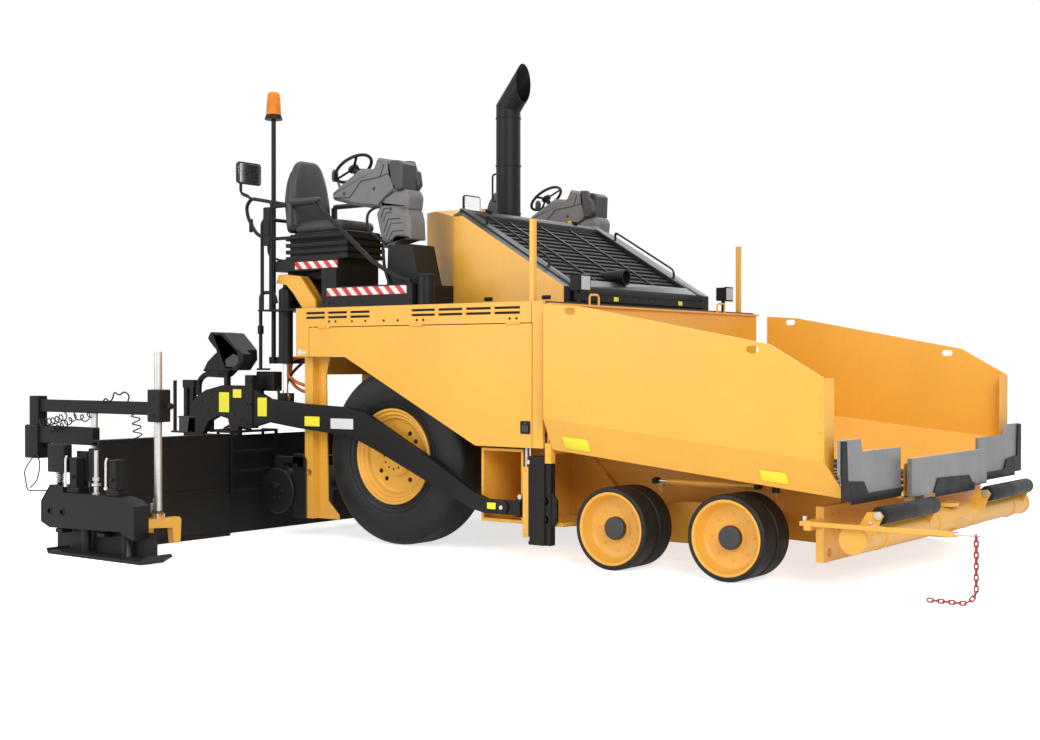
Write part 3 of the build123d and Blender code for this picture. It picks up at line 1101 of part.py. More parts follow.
def guide_chain():
    """Red marker chain: it hangs from the guide rod, curves on to the ground and trails back."""
    chain = Part()
    step = CHAIN_LINK + CHAIN_WIRE_R * 0.8
    top = BAR_Z + BAR_ROD_R + 0.5 - CHAIN_LINK / 2
    low = CHAIN_WIDTH / 2
    hang = top - low - CHAIN_BEND
    turn = CHAIN_BEND * math.pi / 2
    count = int((hang + turn + CHAIN_TRAIL) / step)
    for index in range(count):
        along = index * step
        angle = min(max((along - hang) / CHAIN_BEND, 0), math.pi / 2)
        trail = max(along - hang - turn, 0)
        drop = min(along, hang)
        centre = (CHAIN_X - CHAIN_BEND * (1 - math.cos(angle)) - trail, -BAR_Y,
                  top - drop - CHAIN_BEND * math.sin(angle))
        tangent = (-math.sin(angle), 0, -math.cos(angle))
        side = (0, 1, 0) if index % 2 else (math.cos(angle), 0, -math.sin(angle))
        plane = Plane(origin=centre, x_dir=tangent, z_dir=side)
        ring = SlotOverall(CHAIN_LINK + 2 * CHAIN_WIRE_R, CHAIN_WIDTH) - SlotOverall(CHAIN_LINK,
                                                                                     CHAIN_WIDTH / 2)
        chain += extrude(plane * ring, CHAIN_WIRE_R, both=True)
    return chain


RIGHT_LEFT = {
    "rear_tyre": rear_tyre, "rear_rim": rear_rim, "side_door": side_door, "hopper_wing": hopper_wing,
    "side_apron": side_apron, "push_roller": push_roller, "screed_extension": screed_extension,
    "end_gate": end_gate, "auger": auger, "lift_barrel": lift_barrel,
    "lift_rod": lift_rod, "tie_rod": tie_rod,
}
PER_WHEEL = {"front_wheel": front_wheel, "knuckle": knuckle}
SINGLE = {
    "main_frame": main_frame, "deck_sides": deck_sides, "operator_deck": operator_deck, "hood": hood,
    "hood_grille": hood_grille, "engine_block": engine_block, "exhaust_stack": exhaust_stack,
    "station_platforms": station_platforms, "seats": seats, "consoles": consoles, "handrails": handrails,
    "beacon_lens": beacon_lens, "hopper_floor": hopper_floor, "conveyor": conveyor, "mid_apron": mid_apron,
    "push_beam": push_beam, "tow_points": tow_points, "tow_arms": tow_arms, "screed_frame": screed_frame,
    "auger_case": auger_case, "guide_chain": guide_chain,
}


def pieces():
    """Every piece by its name, in drawing coordinates."""
    for name, make in SINGLE.items():
        yield name, make()
    for name, make in RIGHT_LEFT.items():
        right = make()
        yield name + "_right", right
        yield name + "_left", left(right)
    for name, make in PER_WHEEL.items():
        for place, x in zip(("rear", "fore"), FRONT_X):
            right = make(x)
            yield f"{name}_{place}_right", right
            yield f"{name}_{place}_left", left(right)


os.makedirs("parts", exist_ok=True)
for name, part in pieces():
    export_step(Pos(-MID_X, 0, 0) * Compound(part.solids()), f"parts/{name}.step")
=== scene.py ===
"""Looks of the wheeled asphalt paver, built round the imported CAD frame.

Numbers are millimetres with X forwards from the rear axle, Y to the left from the centre plane and
Z up from the ground, as in the part's source. A mesh is turned into metres in the frame's place
when it is made. Pieces with a twin are made on the right side and mirrored.
"""
import math

import bmesh
import bpy
import numpy as np
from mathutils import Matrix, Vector


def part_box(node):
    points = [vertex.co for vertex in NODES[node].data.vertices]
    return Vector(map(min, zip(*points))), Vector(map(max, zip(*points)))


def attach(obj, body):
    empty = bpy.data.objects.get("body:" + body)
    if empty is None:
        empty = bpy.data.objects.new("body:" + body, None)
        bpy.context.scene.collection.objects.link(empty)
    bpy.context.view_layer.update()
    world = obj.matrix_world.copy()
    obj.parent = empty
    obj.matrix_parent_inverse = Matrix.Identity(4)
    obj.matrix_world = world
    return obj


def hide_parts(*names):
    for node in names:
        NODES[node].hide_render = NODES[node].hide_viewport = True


camera = bpy.data.objects.new("camera", bpy.data.cameras.new("camera"))
bpy.context.scene.collection.objects.link(camera)
bpy.context.scene.camera = camera
camera.data.sensor_width = 36.0
camera.data.lens = 50.215
camera.data.clip_end = 200.0
camera.location = (6.582, -9.689, 1.390)
camera.rotation_euler = (math.radians(89.7415), math.radians(-0.032), math.radians(36.907))
bpy.context.scene.view_settings.view_transform = "Standard"

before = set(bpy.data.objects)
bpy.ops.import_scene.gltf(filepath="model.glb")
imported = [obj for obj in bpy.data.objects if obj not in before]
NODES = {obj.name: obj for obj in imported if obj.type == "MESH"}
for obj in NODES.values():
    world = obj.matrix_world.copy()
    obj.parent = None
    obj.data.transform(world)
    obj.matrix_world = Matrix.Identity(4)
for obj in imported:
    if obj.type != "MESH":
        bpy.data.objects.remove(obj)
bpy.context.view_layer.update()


def span(node):
    """Low and high corner of a CAD node in millimetres from the rear axle."""
    low, high = (np.array(corner) * 1000.0 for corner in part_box(node))
    low[0] -= AXLE
    high[0] -= AXLE
    return low, high


AXLE = 0.0
tyre_low, tyre_high = span("rear_tyre_right")
AXLE = (tyre_low[0] + tyre_high[0]) / 2
TYRE_R = (tyre_high[2] - tyre_low[2]) / 2
TYRE_Y = -(tyre_low[1] + tyre_high[1]) / 2
TYRE_WIDTH = tyre_high[1] - tyre_low[1]
FRONT_Y = -(span("front_wheel_fore_right")[0][1] + span("front_wheel_fore_right")[1][1]) / 2
DECK_Z = span("operator_deck")[1][2]
# The lid's hinge straps stand this far behind its slab and above it
STRAP_BACK, STRAP_RISE = 30.0, 34.0
LID_SLOPE = 0.5962
GRILLE_REAR, GRILLE_FRONT = span("hood_grille")[0][0] + STRAP_BACK, span("hood_grille")[1][0]
GRILLE_HALF = span("hood_grille")[1][1]
GRILLE_TOP = span("hood_grille")[1][2] - STRAP_RISE
STATION_Y = 1300.0
WHEEL_AT = (-530.0, -STATION_Y, 2930.0)
WHEEL_TILT = -38.0
SEAT_LEAN = -4.0
SEAT_FOOT = (-1010.0, 0.0, 2460.0)

# Faces and axes of the chassis that pieces stand on
DOOR_FACE = -1557.0
RAIL_Y = -1450.0
BEAM_AXIS = (3784.0, 0.0, 327.0)
ROLLER_AXIS = (3895.0, 0.0, 470.0)
TOW_PIN = (1151.0, 0.0, 370.0)
AUGER_END = (-1190.0, 0.0, 362.0)
STEER_Y, STEER_Z = -1225.0, 593.0
# The wing's wall bends inwards below a line that falls forwards from its rear edge
BEND_Z, BEND_SLOPE, WING_REAR, WALL_LEAN = 1013.0, 0.1015, 1583.0, 0.5138


# Shells: each is a pair of an array of points and a list of faces

def surface(points, wrap_u=False, wrap_v=False):
    """Quads over a grid of points P(u, v); a wrapped direction closes on its first row."""
    rows, columns = points.shape[:2]
    faces = []
    for u in range(rows if wrap_u else rows - 1):
        for v in range(columns if wrap_v else columns - 1):
            next_u, next_v = (u + 1) % rows, (v + 1) % columns
            faces.append((u * columns + v, next_u * columns + v, next_u * columns + next_v,
                          u * columns + next_v))
    return points.reshape(-1, 3), faces


def joined(*shells):
    """Several shells as one."""
    points, faces, base = [], [], 0
    for shell_points, shell_faces in shells:
        points.append(shell_points)
        faces += [tuple(index + base for index in face) for face in shell_faces]
        base += len(shell_points)
    return np.vstack(points), faces


def moved(shell, offset):
    """The shell shifted by an offset."""
    return shell[0] + np.array(offset, float), shell[1]


def copies(shell, offsets):
    """The shell once at each offset."""
    return joined(*[moved(shell, offset) for offset in offsets])


def turned_about(shell, axis, centre, degrees):
    """The shell turned about an axis (0, 1 or 2) through a centre: the other two coordinates rotate."""
    a, b = [i for i in range(3) if i != axis]
    if axis == 1:
        a, b = b, a
    angle = math.radians(degrees)
    points = shell[0] - np.array(centre, float)
    out = points.copy()
    out[:, a] = points[:, a] * math.cos(angle) - points[:, b] * math.sin(angle)
    out[:, b] = points[:, a] * math.sin(angle) + points[:, b] * math.cos(angle)
    return out + np.array(centre, float), shell[1]


def flipped(shell):
    """The shell on the other side of the centre plane: y becomes minus y."""
    return shell[0] * (1.0, -1.0, 1.0), [tuple(reversed(face)) for face in shell[1]]


def both(shell):
    """The shell and its twin on the other side, as one."""
    return joined(shell, flipped(shell))


def kept(shell):
    """The shell as it is, for the side on which it was made."""
    return shell


SIDES = (("right", kept), ("left", flipped))


def rounded(points, radius, steps=4, closed=True):
    """Corners replaced by curves p + (1-t)^2 (a-p) + t^2 (b-p), with a and b on the corner's two edges."""
    points = np.asarray(points, float)
    out = []
    for index, corner in enumerate(points):
        if radius <= 0 or (not closed and index in (0, len(points) - 1)):
            out.append(corner)
            continue
        before = points[index - 1] - corner
        after = points[(index + 1) % len(points)] - corner
        lengths = np.linalg.norm(before), np.linalg.norm(after)
        cut = min(radius, lengths[0] * 0.48, lengths[1] * 0.48)
        a, b = before / lengths[0] * cut, after / lengths[1] * cut
        for t in np.linspace(0.0, 1.0, steps + 1):
            out.append(corner + a * (1 - t) ** 2 + b * t ** 2)
    return np.array(out)


def inset(outline, amount):
    """Each point of a closed outline moved inwards along the mean normal of its two edges."""
    before = outline - np.roll(outline, 1, axis=0)
    after = np.roll(outline, -1, axis=0) - outline
    area = np.sum(outline[:, 0] * np.roll(outline[:, 1], -1) - np.roll(outline[:, 0], -1) * outline[:, 1])
    sign = 1.0 if area > 0 else -1.0
    normals = []
    for edge in (before, after):
        length = np.maximum(np.linalg.norm(edge, axis=1, keepdims=True), 1e-9)
        normals.append(np.stack([-edge[:, 1], edge[:, 0]], axis=1) / length * sign)
    mean = normals[0] + normals[1]
    mean /= np.maximum(np.linalg.norm(mean, axis=1, keepdims=True), 0.5)
    return outline + mean * amount


def on_axis(outline, axis, depth):
    """Outline points set in space across an axis: (y, z) for x, (x, z) for y, (x, y) for z."""
    out = np.zeros((len(outline), 3))
    others = [i for i in range(3) if i != axis]
    out[:, others[0]] = outline[:, 0]
    out[:, others[1]] = outline[:, 1]
    out[:, axis] = depth
    return out


def capped(rings):
    """Rings of equal length skinned one to the next, with a face over each end."""
    points, faces = surface(np.array(rings), wrap_v=True)
    count = len(rings[0])
    faces.append(tuple(range(count)))
    faces.append(tuple(len(points) - count + i for i in range(count)))
    return points, faces


def slab(outline, axis, low, high, bevel=2.0, corner=0.0):
    """A plate between two depths on an axis, with its corners rounded and its edges bevelled."""
    outline = rounded(outline, corner) if corner else np.asarray(outline, float)
    bevel = min(bevel, (high - low) * 0.45)
    smaller = inset(outline, bevel)
    rings = [on_axis(smaller, axis, low), on_axis(outline, axis, low + bevel),
             on_axis(outline, axis, high - bevel), on_axis(smaller, axis, high)]
    return capped(rings)


def box(x, y, z, corner=3.0, bevel=2.0):
    """A box between the low and high values of each axis, with soft edges."""
    x, y, z = sorted(x), sorted(y), sorted(z)
    outline = [(x[0], y[0]), (x[1], y[0]), (x[1], y[1]), (x[0], y[1])]
    return slab(outline, 2, z[0], z[1], bevel, corner)


def lathe(profile, centre, axis=1, segments=72, corner=0.0, sign=-1.0):
    """A closed profile of (along, radius) turned about an axis: P = c + along a + r (cos t e + sin t f)."""
    profile = rounded(profile, corner) if corner else np.asarray(profile, float)
    others = [i for i in range(3) if i != axis]
    angle = np.linspace(0.0, 2 * math.pi, segments, endpoint=False)
    grid = np.zeros((len(profile), segments, 3))
    grid[:, :, axis] = profile[:, 0:1] * sign
    grid[:, :, others[0]] = profile[:, 1:2] * np.cos(angle)
    grid[:, :, others[1]] = profile[:, 1:2] * np.sin(angle)
    return surface(grid + np.array(centre, float), wrap_u=True, wrap_v=True)


def swept(path, section, closed=False):
    """A closed section of (side, up) points carried along a path, turning only as the path bends."""
    path = np.asarray(path, float)
    section = np.asarray(section, float)
    if closed:
        tangents = np.roll(path, -1, axis=0) - np.roll(path, 1, axis=0)
    else:
        tangents = np.gradient(path, axis=0)
    tangents /= np.linalg.norm(tangents, axis=1, keepdims=True)
    start = np.array((0.0, 0.0, 1.0)) if abs(tangents[0][2]) < 0.9 else np.array((1.0, 0.0, 0.0))
    rings = []
    up = start
    for point, tangent in zip(path, tangents):
        up = up - tangent * np.dot(up, tangent)
        up /= np.linalg.norm(up)
        side = np.cross(tangent, up)
        rings.append(point + section[:, 0:1] * side + section[:, 1:2] * up)
    if closed:
        return surface(np.array(rings), wrap_u=True, wrap_v=True)
    return capped(rings)


def circle(radius, sides=14):
    """Section points r (cos t, sin t)."""
    angle = np.linspace(0.0, 2 * math.pi, sides, endpoint=False)
    return np.stack([np.cos(angle), np.sin(angle)], axis=1) * radius


def tube(points, radius, bend=40.0, sides=14, steps=6):
    """A round tube along straight runs with rounded corners."""
    return swept(rounded(points, bend, steps, closed=False), circle(radius, sides))


def rod(start, end, radius, sides=20):
    """A straight round bar between two points."""
    return swept([start, end], circle(radius, sides))


def bolt(centre, axis, radius=12.0, height=9.0, sign=-1.0):
    """A hexagon head on a washer, standing on a face whose outward side is the sign of the axis."""
    washer = lathe(((-2, 0.01), (-2, radius * 1.35), (2, radius * 1.35), (2, 0.01)), centre, axis,
                   14, sign=sign)
    head = lathe(((0, 0.01), (0, radius), (height * 0.8, radius), (height, radius * 0.8), (height, 0.01)),
                 centre, axis, 6, sign=sign)
    return joined(washer, head)


def bolts(places, axis, radius=12.0, height=9.0, sign=-1.0):
    """The same bolt at each place."""
    first = bolt((0, 0, 0), axis, radius, height, sign)
    return copies(first, places)


def helix(centre, radius, wire, pitch, turns, axis=2, sides=6, per_turn=16):
    """A coil: c + r (cos 2 pi t, sin 2 pi t) across the axis and pitch t along it."""
    t = np.linspace(0.0, turns, int(turns * per_turn) + 1)
    others = [i for i in range(3) if i != axis]
    path = np.zeros((len(t), 3))
    path[:, axis] = t * pitch
    path[:, others[0]] = np.cos(2 * math.pi * t) * radius
    path[:, others[1]] = np.sin(2 * math.pi * t) * radius
    return swept(path + np.array(centre, float), circle(wire, sides))


def pad(outline, axis, low, high, depth=28.0, crown=14.0, corner=50.0, rings=7):
    """A stuffed pad: its edge is a half ellipse, and its face swells by crown (1 - f^2) to the middle."""
    outline = rounded(outline, corner, steps=5)
    centre = outline.mean(axis=0)
    middle, half = (low + high) / 2, (high - low) / 2
    stack = [on_axis(centre + (inset(outline, depth) - centre) * f, axis, low) for f in (0.02, 0.5)]
    for angle in np.linspace(-math.pi / 2, math.pi / 2, rings):
        stack.append(on_axis(inset(outline, depth * (1 - math.cos(angle))), axis,
                             middle + half * math.sin(angle)))
    edge = inset(outline, depth)
    for f in (0.85, 0.65, 0.4, 0.02):
        stack.append(on_axis(centre + (edge - centre) * f, axis, high + crown * (1 - f * f)))
    return capped(stack)


def mesh_piece(name, shell, material, body, replaces=(), angle=35.0):
    """One mesh object of the scene that rides on a body."""
    points, faces = shell
    place = points * 0.001
    place[:, 0] += AXLE * 0.001
    mesh = bpy.data.meshes.new(name)
    mesh.from_pydata([tuple(p) for p in place], [], faces)
    build = bmesh.new()
    build.from_mesh(mesh)
    bmesh.ops.recalc_face_normals(build, faces=build.faces)
    build.to_mesh(mesh)
    build.free()
    mesh.shade_smooth()
    mesh.set_sharp_from_angle(angle=math.radians(angle))
    mesh.materials.append(material)
    piece = bpy.data.objects.new(name, mesh)
    bpy.context.scene.collection.objects.link(piece)
    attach(piece, body)
    if replaces:
        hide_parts(*replaces)
    return piece


# Materials

class Wires:
    """Adds shader nodes to a tree and joins them."""

    def __init__(self, tree):
        self.tree = tree

    def add(self, kind, inputs=None, **settings):
        node = self.tree.nodes.new("ShaderNode" + kind)
        for key, value in settings.items():
            setattr(node, key, value)
        for key, value in (inputs or {}).items():
            if isinstance(value, bpy.types.NodeSocket):
                self.tree.links.new(value, node.inputs[key])
            else:
                node.inputs[key].default_value = value
        return node

    def math(self, operation, a, b=0.0, c=None, clamp=False):
        inputs = {0: a, 1: b}
        if c is not None:
            inputs[2] = c
        return self.add("Math", inputs, operation=operation, use_clamp=clamp).outputs[0]

    def noise(self, vector, scale, detail=3.0, roughness=0.5):
        inputs = {"Vector": vector, "Scale": scale, "Detail": detail, "Roughness": roughness}
        return self.add("TexNoise", inputs).outputs["Fac"]

    def ramp(self, value, low, high, out_low=0.0, out_high=1.0):
        inputs = {"Value": value, "From Min": low, "From Max": high, "To Min": out_low, "To Max": out_high}
        return self.add("MapRange", inputs, clamp=True, interpolation_type="SMOOTHSTEP").outputs[0]

    def mix(self, factor, a, b, blend="MIX"):
        node = self.tree.nodes.new("ShaderNodeMix")
        node.data_type = "RGBA"
        node.blend_type = blend
        for socket, value in ((0, factor), (6, a), (7, b)):
            if isinstance(value, bpy.types.NodeSocket):
                self.tree.links.new(value, node.inputs[socket])
            else:
                node.inputs[socket].default_value = value
        return node.outputs[2]

    def scaled(self, vector, factors):
        return self.add("VectorMath", {0: vector, 1: factors}, operation="MULTIPLY").outputs[0]

    def parts(self, vector):
        return self.add("SeparateXYZ", {0: vector}).outputs

    def bump(self, height, strength, distance=0.001, normal=None):
        inputs = {"Height": height, "Strength": strength, "Distance": distance}
        if normal is not None:
            inputs["Normal"] = normal
        return self.add("Bump", inputs).outputs[0]

    def tinted(self, colour, shade):
        grey = self.add("CombineColor", {0: shade, 1: shade, 2: shade}).outputs[0]
        return self.mix(1.0, colour, grey, "MULTIPLY")

    def soft_edges(self, radius):
        return self.add("Bevel", {"Radius": radius}, samples=4).outputs[0]


SOCKETS = {"colour": "NodeSocketColor", "value": "NodeSocketFloat", "vector": "NodeSocketVector"}


def effect(name, inputs, outputs, build):
    """A shader node group: build(wires, inputs) returns one socket for each output."""
    tree = bpy.data.node_groups.new(name, "ShaderNodeTree")
    for label, kind in inputs:
        tree.interface.new_socket(label, in_out="INPUT", socket_type=SOCKETS[kind])
    for label, kind in outputs:
        tree.interface.new_socket(label, in_out="OUTPUT", socket_type=SOCKETS[kind])
    entry = tree.nodes.new("NodeGroupInput")
    leave = tree.nodes.new("NodeGroupOutput")
    for index, socket in enumerate(build(Wires(tree), entry.outputs)):
        tree.links.new(socket, leave.inputs[index])
    return tree


def painted_build(w, given):
    """Even paint with a faint cloud, dust low on the machine, and the ripple of sprayed paint."""
    place = given["Place"]
    cloud = w.noise(place, 1.3, 4.0)
    fine = w.noise(place, 26.0, 3.0)
    shade = w.math("ADD", w.ramp(cloud, 0.3, 0.7, 0.95, 1.02), w.ramp(fine, 0.3, 0.7, -0.012, 0.012))
    shaded = w.tinted(given["Paint"], shade)
    height = w.parts(place)[2]
    low = w.ramp(w.math("ADD", height, w.math("MULTIPLY", fine, 0.25)), 0.1, 0.95, 1.0, 0.0)
    dust = w.math("MULTIPLY", low, given["Dust"])
    colour = w.mix(dust, shaded, (0.24, 0.19, 0.13, 1.0))
    dulling = w.math("ADD", w.ramp(cloud, 0.3, 0.7, -0.03, 0.04), w.math("MULTIPLY", dust, 0.4))
    rough = w.math("ADD", given["Gloss"], dulling)
    ripple = w.bump(w.noise(place, 420.0, 2.0), 0.05, 0.0006, w.soft_edges(0.004))
    return colour, rough, ripple


def grain_build(w, given):
    """Moulded or rolled skin: fine bumps of one size with a slow change of shade."""
    place = given["Place"]
    cells = w.add("TexVoronoi", {"Vector": place, "Scale": given["Scale"]}, feature="SMOOTH_F1")
    cloud = w.noise(place, 7.0, 4.0)
    colour = w.tinted(given["Paint"], w.ramp(cloud, 0.25, 0.75, 0.82, 1.15))
    rough = w.ramp(cloud, 0.3, 0.7, 0.46, 0.62)
    return colour, rough, w.bump(cells.outputs["Distance"], given["Depth"], 0.0008, w.soft_edges(0.003))


def brushed_build(w, given):
    """Brushed plate: noise squeezed along Z into streaks."""
    streaks = w.noise(w.scaled(given["Place"], (3.0, 3.0, 260.0)), 3.0, 5.0, 0.7)
    cloud = w.noise(given["Place"], 5.0, 3.0)
    shade = w.math("MULTIPLY", w.ramp(streaks, 0.3, 0.7, 0.84, 1.14), w.ramp(cloud, 0.3, 0.7, 0.93, 1.05))
    rough = w.ramp(streaks, 0.3, 0.7, 0.3, 0.5)
    return w.tinted(given["Paint"], shade), rough, w.bump(streaks, 0.12, 0.0005, w.soft_edges(0.002))


def from_middle(w, value):
    """Distance from the middle of each whole step: the size of fract(value) - 1/2."""
    return w.math("ABSOLUTE", w.math("SUBTRACT", w.math("FRACT", value), 0.5))


def tread_build(w, given):
    """Raised lozenges: in each cell 2.3 |u| + 7.5 |v| < 1, with u and v swapped in every other one."""
    x, y = w.parts(w.scaled(given["Place"], (26.0, 26.0, 26.0)))[:2]
    across = w.math("ADD", x, y)
    along = w.math("SUBTRACT", x, y)
    cell = w.math("ADD", w.math("FLOOR", across), w.math("FLOOR", along))
    odd = w.math("PINGPONG", cell, 1.0)
    u, v = from_middle(w, across), from_middle(w, along)
    first = w.math("ADD", w.math("MULTIPLY", u, 2.3), w.math("MULTIPLY", v, 7.5))
    second = w.math("ADD", w.math("MULTIPLY", v, 2.3), w.math("MULTIPLY", u, 7.5))
    other = w.math("MULTIPLY", second, w.math("SUBTRACT", 1.0, odd))
    height = w.ramp(w.math("ADD", w.math("MULTIPLY", first, odd), other), 0.75, 1.05, 1.0, 0.0)
    return (w.bump(height, 0.7, 0.003, w.soft_edges(0.003)),)


def stripe_build(w, given):
    """Slanted bands of two colours: the second stands where fract((x + z) / pitch) is over a half."""
    place = w.parts(given["Place"])
    step = w.math("FRACT", w.math("DIVIDE", w.math("ADD", place[0], place[2]), given["Pitch"]))
    return (w.math("GREATER_THAN", step, 0.5),)


def mesh_build(w, given):
    """Fine woven mesh: square holes between wires along X and Y."""
    x, y = w.parts(w.scaled(given["Place"], (90.0, 90.0, 90.0)))[:2]
    wire = w.ramp(w.math("MAXIMUM", from_middle(w, x), from_middle(w, y)), 0.28, 0.38)
    return wire, w.bump(wire, 0.8, 0.002)


PLACE, PAINT, NORMAL = ("Place", "vector"), ("Paint", "colour"), ("Normal", "vector")
SKIN = (("Colour", "colour"), ("Roughness", "value"), NORMAL)
PAINTED = effect("sprayed paint", (PLACE, PAINT, ("Dust", "value"), ("Gloss", "value")), SKIN, painted_build)
GRAIN = effect("moulded grain", (PLACE, PAINT, ("Scale", "value"), ("Depth", "value")), SKIN, grain_build)
BRUSHED = effect("brushed plate", (PLACE, PAINT), SKIN, brushed_build)
TREAD = effect("deck lozenges", (PLACE,), (NORMAL,), tread_build)
STRIPES = effect("slanted bands", (PLACE, ("Pitch", "value")), (("Band", "value"),), stripe_build)
WOVEN = effect("woven mesh", (PLACE,), (("Wire", "value"), NORMAL), mesh_build)


def material(name, **constants):
    """A new material with its Principled shader and the object's own coordinates."""
    made = bpy.data.materials.new(name)
    made.use_nodes = True
    w = Wires(made.node_tree)
    shader = made.node_tree.nodes["Principled BSDF"]
    for key, value in constants.items():
        shader.inputs[key.replace("_", " ")].default_value = value
    place = w.add("TexCoord").outputs["Object"]
    return made, w, shader, place


def with_effect(w, tree, place, shader, **values):
    """The effect's node, joined to the shader's sockets of the same names."""
    node = w.add("Group", node_tree=tree)
    w.tree.links.new(place, node.inputs["Place"])
    for key, value in values.items():
        node.inputs[key].default_value = value
    for label, socket in (("Colour", "Base Color"), ("Roughness", "Roughness"), ("Normal", "Normal")):
        if label in node.outputs:
            w.tree.links.new(node.outputs[label], shader.inputs[socket])
    return node


def paint(name, colour, gloss=0.34, dust=0.12, **constants):
    made, w, shader, place = material(name, **constants)
    with_effect(w, PAINTED, place, shader, Paint=(*colour, 1.0), Dust=dust, Gloss=gloss)
    return made


def moulded(name, colour, scale=420.0, depth=0.25, **constants):
    made, w, shader, place = material(name, **constants)
    with_effect(w, GRAIN, place, shader, Paint=(*colour, 1.0), Scale=scale, Depth=depth)
    return made


def brushed(name, colour, metal=0.8, **constants):
    made, w, shader, place = material(name, Metallic=metal, **constants)
    with_effect(w, BRUSHED, place, shader, Paint=(*colour, 1.0))
    return made


def treaded(name, colour, gloss=0.45):
    made, w, shader, place = material(name)
    with_effect(w, PAINTED, place, shader, Paint=(*colour, 1.0), Dust=0.05, Gloss=gloss)
    with_effect(w, TREAD, place, shader)
    return made


def striped(name, first, second, pitch):
    made, w, shader, place = material(name, Roughness=0.4)
    node = with_effect(w, STRIPES, place, shader, Pitch=pitch)
    w.tree.links.new(w.mix(node.outputs["Band"], (*first, 1.0), (*second, 1.0)), shader.inputs["Base Color"])
    return made


def woven(name, wire, gap):
    made, w, shader, place = material(name, Roughness=0.6)
    node = with_effect(w, WOVEN, place, shader)
    # The holes between the wires get the near-black gap colour: painted shade behind the mesh.
    w.tree.links.new(w.mix(node.outputs["Wire"], (*gap, 1.0), (*wire, 1.0)), shader.inputs["Base Color"])
    return made


YELLOW = paint("yellow paint", (0.83, 0.42, 0.05))
BLACK = paint("black paint", (0.0105, 0.0098, 0.0094), gloss=0.45, dust=0.02, Specular_IOR_Level=0.2)
# A black even darker than the black paint, for the ribs sunk inside the grille: painted shade.
RIB_BLACK_PAINTED_SHADE = paint("grille black with painted shade", (0.004, 0.004, 0.004), gloss=0.6, dust=0.0, Specular_IOR_Level=0.08)
DARK_STEEL = paint("dark steel", (0.05, 0.047, 0.044), gloss=0.5, dust=0.1, Metallic=0.5)
DECK = treaded("deck plate", (0.022, 0.021, 0.02))
GREY = moulded("grey casing", (0.14, 0.135, 0.135), scale=520.0, depth=0.15)
DARK_GREY = moulded("dark casing", (0.035, 0.034, 0.034), scale=520.0, depth=0.15)
VINYL = moulded("seat vinyl", (0.03, 0.03, 0.031), scale=260.0, depth=0.35)
RUBBER = moulded("black rubber", (0.012, 0.012, 0.012), scale=700.0, depth=0.2, Specular_IOR_Level=0.25)
TYRE = moulded("tyre rubber", (0.013, 0.0125, 0.0125), scale=500.0, depth=0.12, Specular_IOR_Level=0.3)
APRON = brushed("apron steel", (0.25, 0.25, 0.25), metal=0.3)
BRIGHT = brushed("bright steel", (0.62, 0.6, 0.57), metal=0.9)
CHROME = brushed("chromed rod", (0.75, 0.75, 0.76), metal=1.0)
RED = paint("red paint", (0.36, 0.03, 0.03), gloss=0.4, dust=0.05)
ORANGE = moulded("orange hose", (0.62, 0.16, 0.02), scale=300.0)
LABEL = paint("yellow plate", (0.86, 0.78, 0.03), gloss=0.4, dust=0.0)
WHITE = paint("white plate", (0.7, 0.7, 0.68), gloss=0.4, dust=0.0)
BANDS = striped("red and white bands", (0.72, 0.7, 0.68), (0.55, 0.02, 0.015), 0.11)
# Gap colour darker than the wires: painted shade seen through the mesh's holes.
MESH = woven("grille mesh", (0.007, 0.007, 0.007), (0.002, 0.002, 0.002))
AMBER = moulded("amber lens", (0.95, 0.31, 0.01), scale=120.0, depth=0.1, Transmission_Weight=0.35)
GLASS = brushed("lamp glass", (0.5, 0.52, 0.54), metal=0.6)
MIRROR = paint("mirror glass", (0.92, 0.93, 0.94), gloss=0.02, dust=0.0, Metallic=1.0)


def dress(made, *names):
    """Gives CAD nodes a material."""
    for name in names:
        NODES[name].data.materials.clear()
        NODES[name].data.materials.append(made)


def pair(name):
    """Names of the right and the left one."""
    return name + "_right", name + "_left"


def patch(node, made, test):
    """A second material on the faces of a CAD node whose centre and normal pass a test, in millimetres."""
    mesh = NODES[node].data
    mesh.materials.append(made)
    slot = len(mesh.materials) - 1
    for face in mesh.polygons:
        centre = face.center * 1000.0
        if test(centre.x - AXLE, centre.y, centre.z, face.normal):
            face.material_index = slot


dress(YELLOW, "main_frame", "deck_sides", "hood", "hopper_floor", "push_beam", *pair("side_door"),
      *pair("hopper_wing"), *pair("rear_rim"), *pair("front_wheel_rear"), *pair("front_wheel_fore"),
      *pair("knuckle_rear"), *pair("knuckle_fore"))
dress(BLACK, "exhaust_stack", "hood_grille", "station_platforms", "handrails", "tow_points", "tow_arms",
      "screed_frame", *pair("screed_extension"), *pair("end_gate"), *pair("lift_barrel"), "auger_case")
dress(DECK, "operator_deck")
dress(DARK_STEEL, "engine_block", "conveyor", *pair("auger"), *pair("tie_rod"))
dress(GREY, "consoles")
dress(VINYL, "seats")
dress(AMBER, "beacon_lens")
dress(APRON, "mid_apron", *pair("side_apron"))
dress(RUBBER, *pair("push_roller"))
dress(TYRE, *pair("rear_tyre"))
dress(CHROME, *pair("lift_rod"))
dress(RED, "guide_chain")


# Wheels

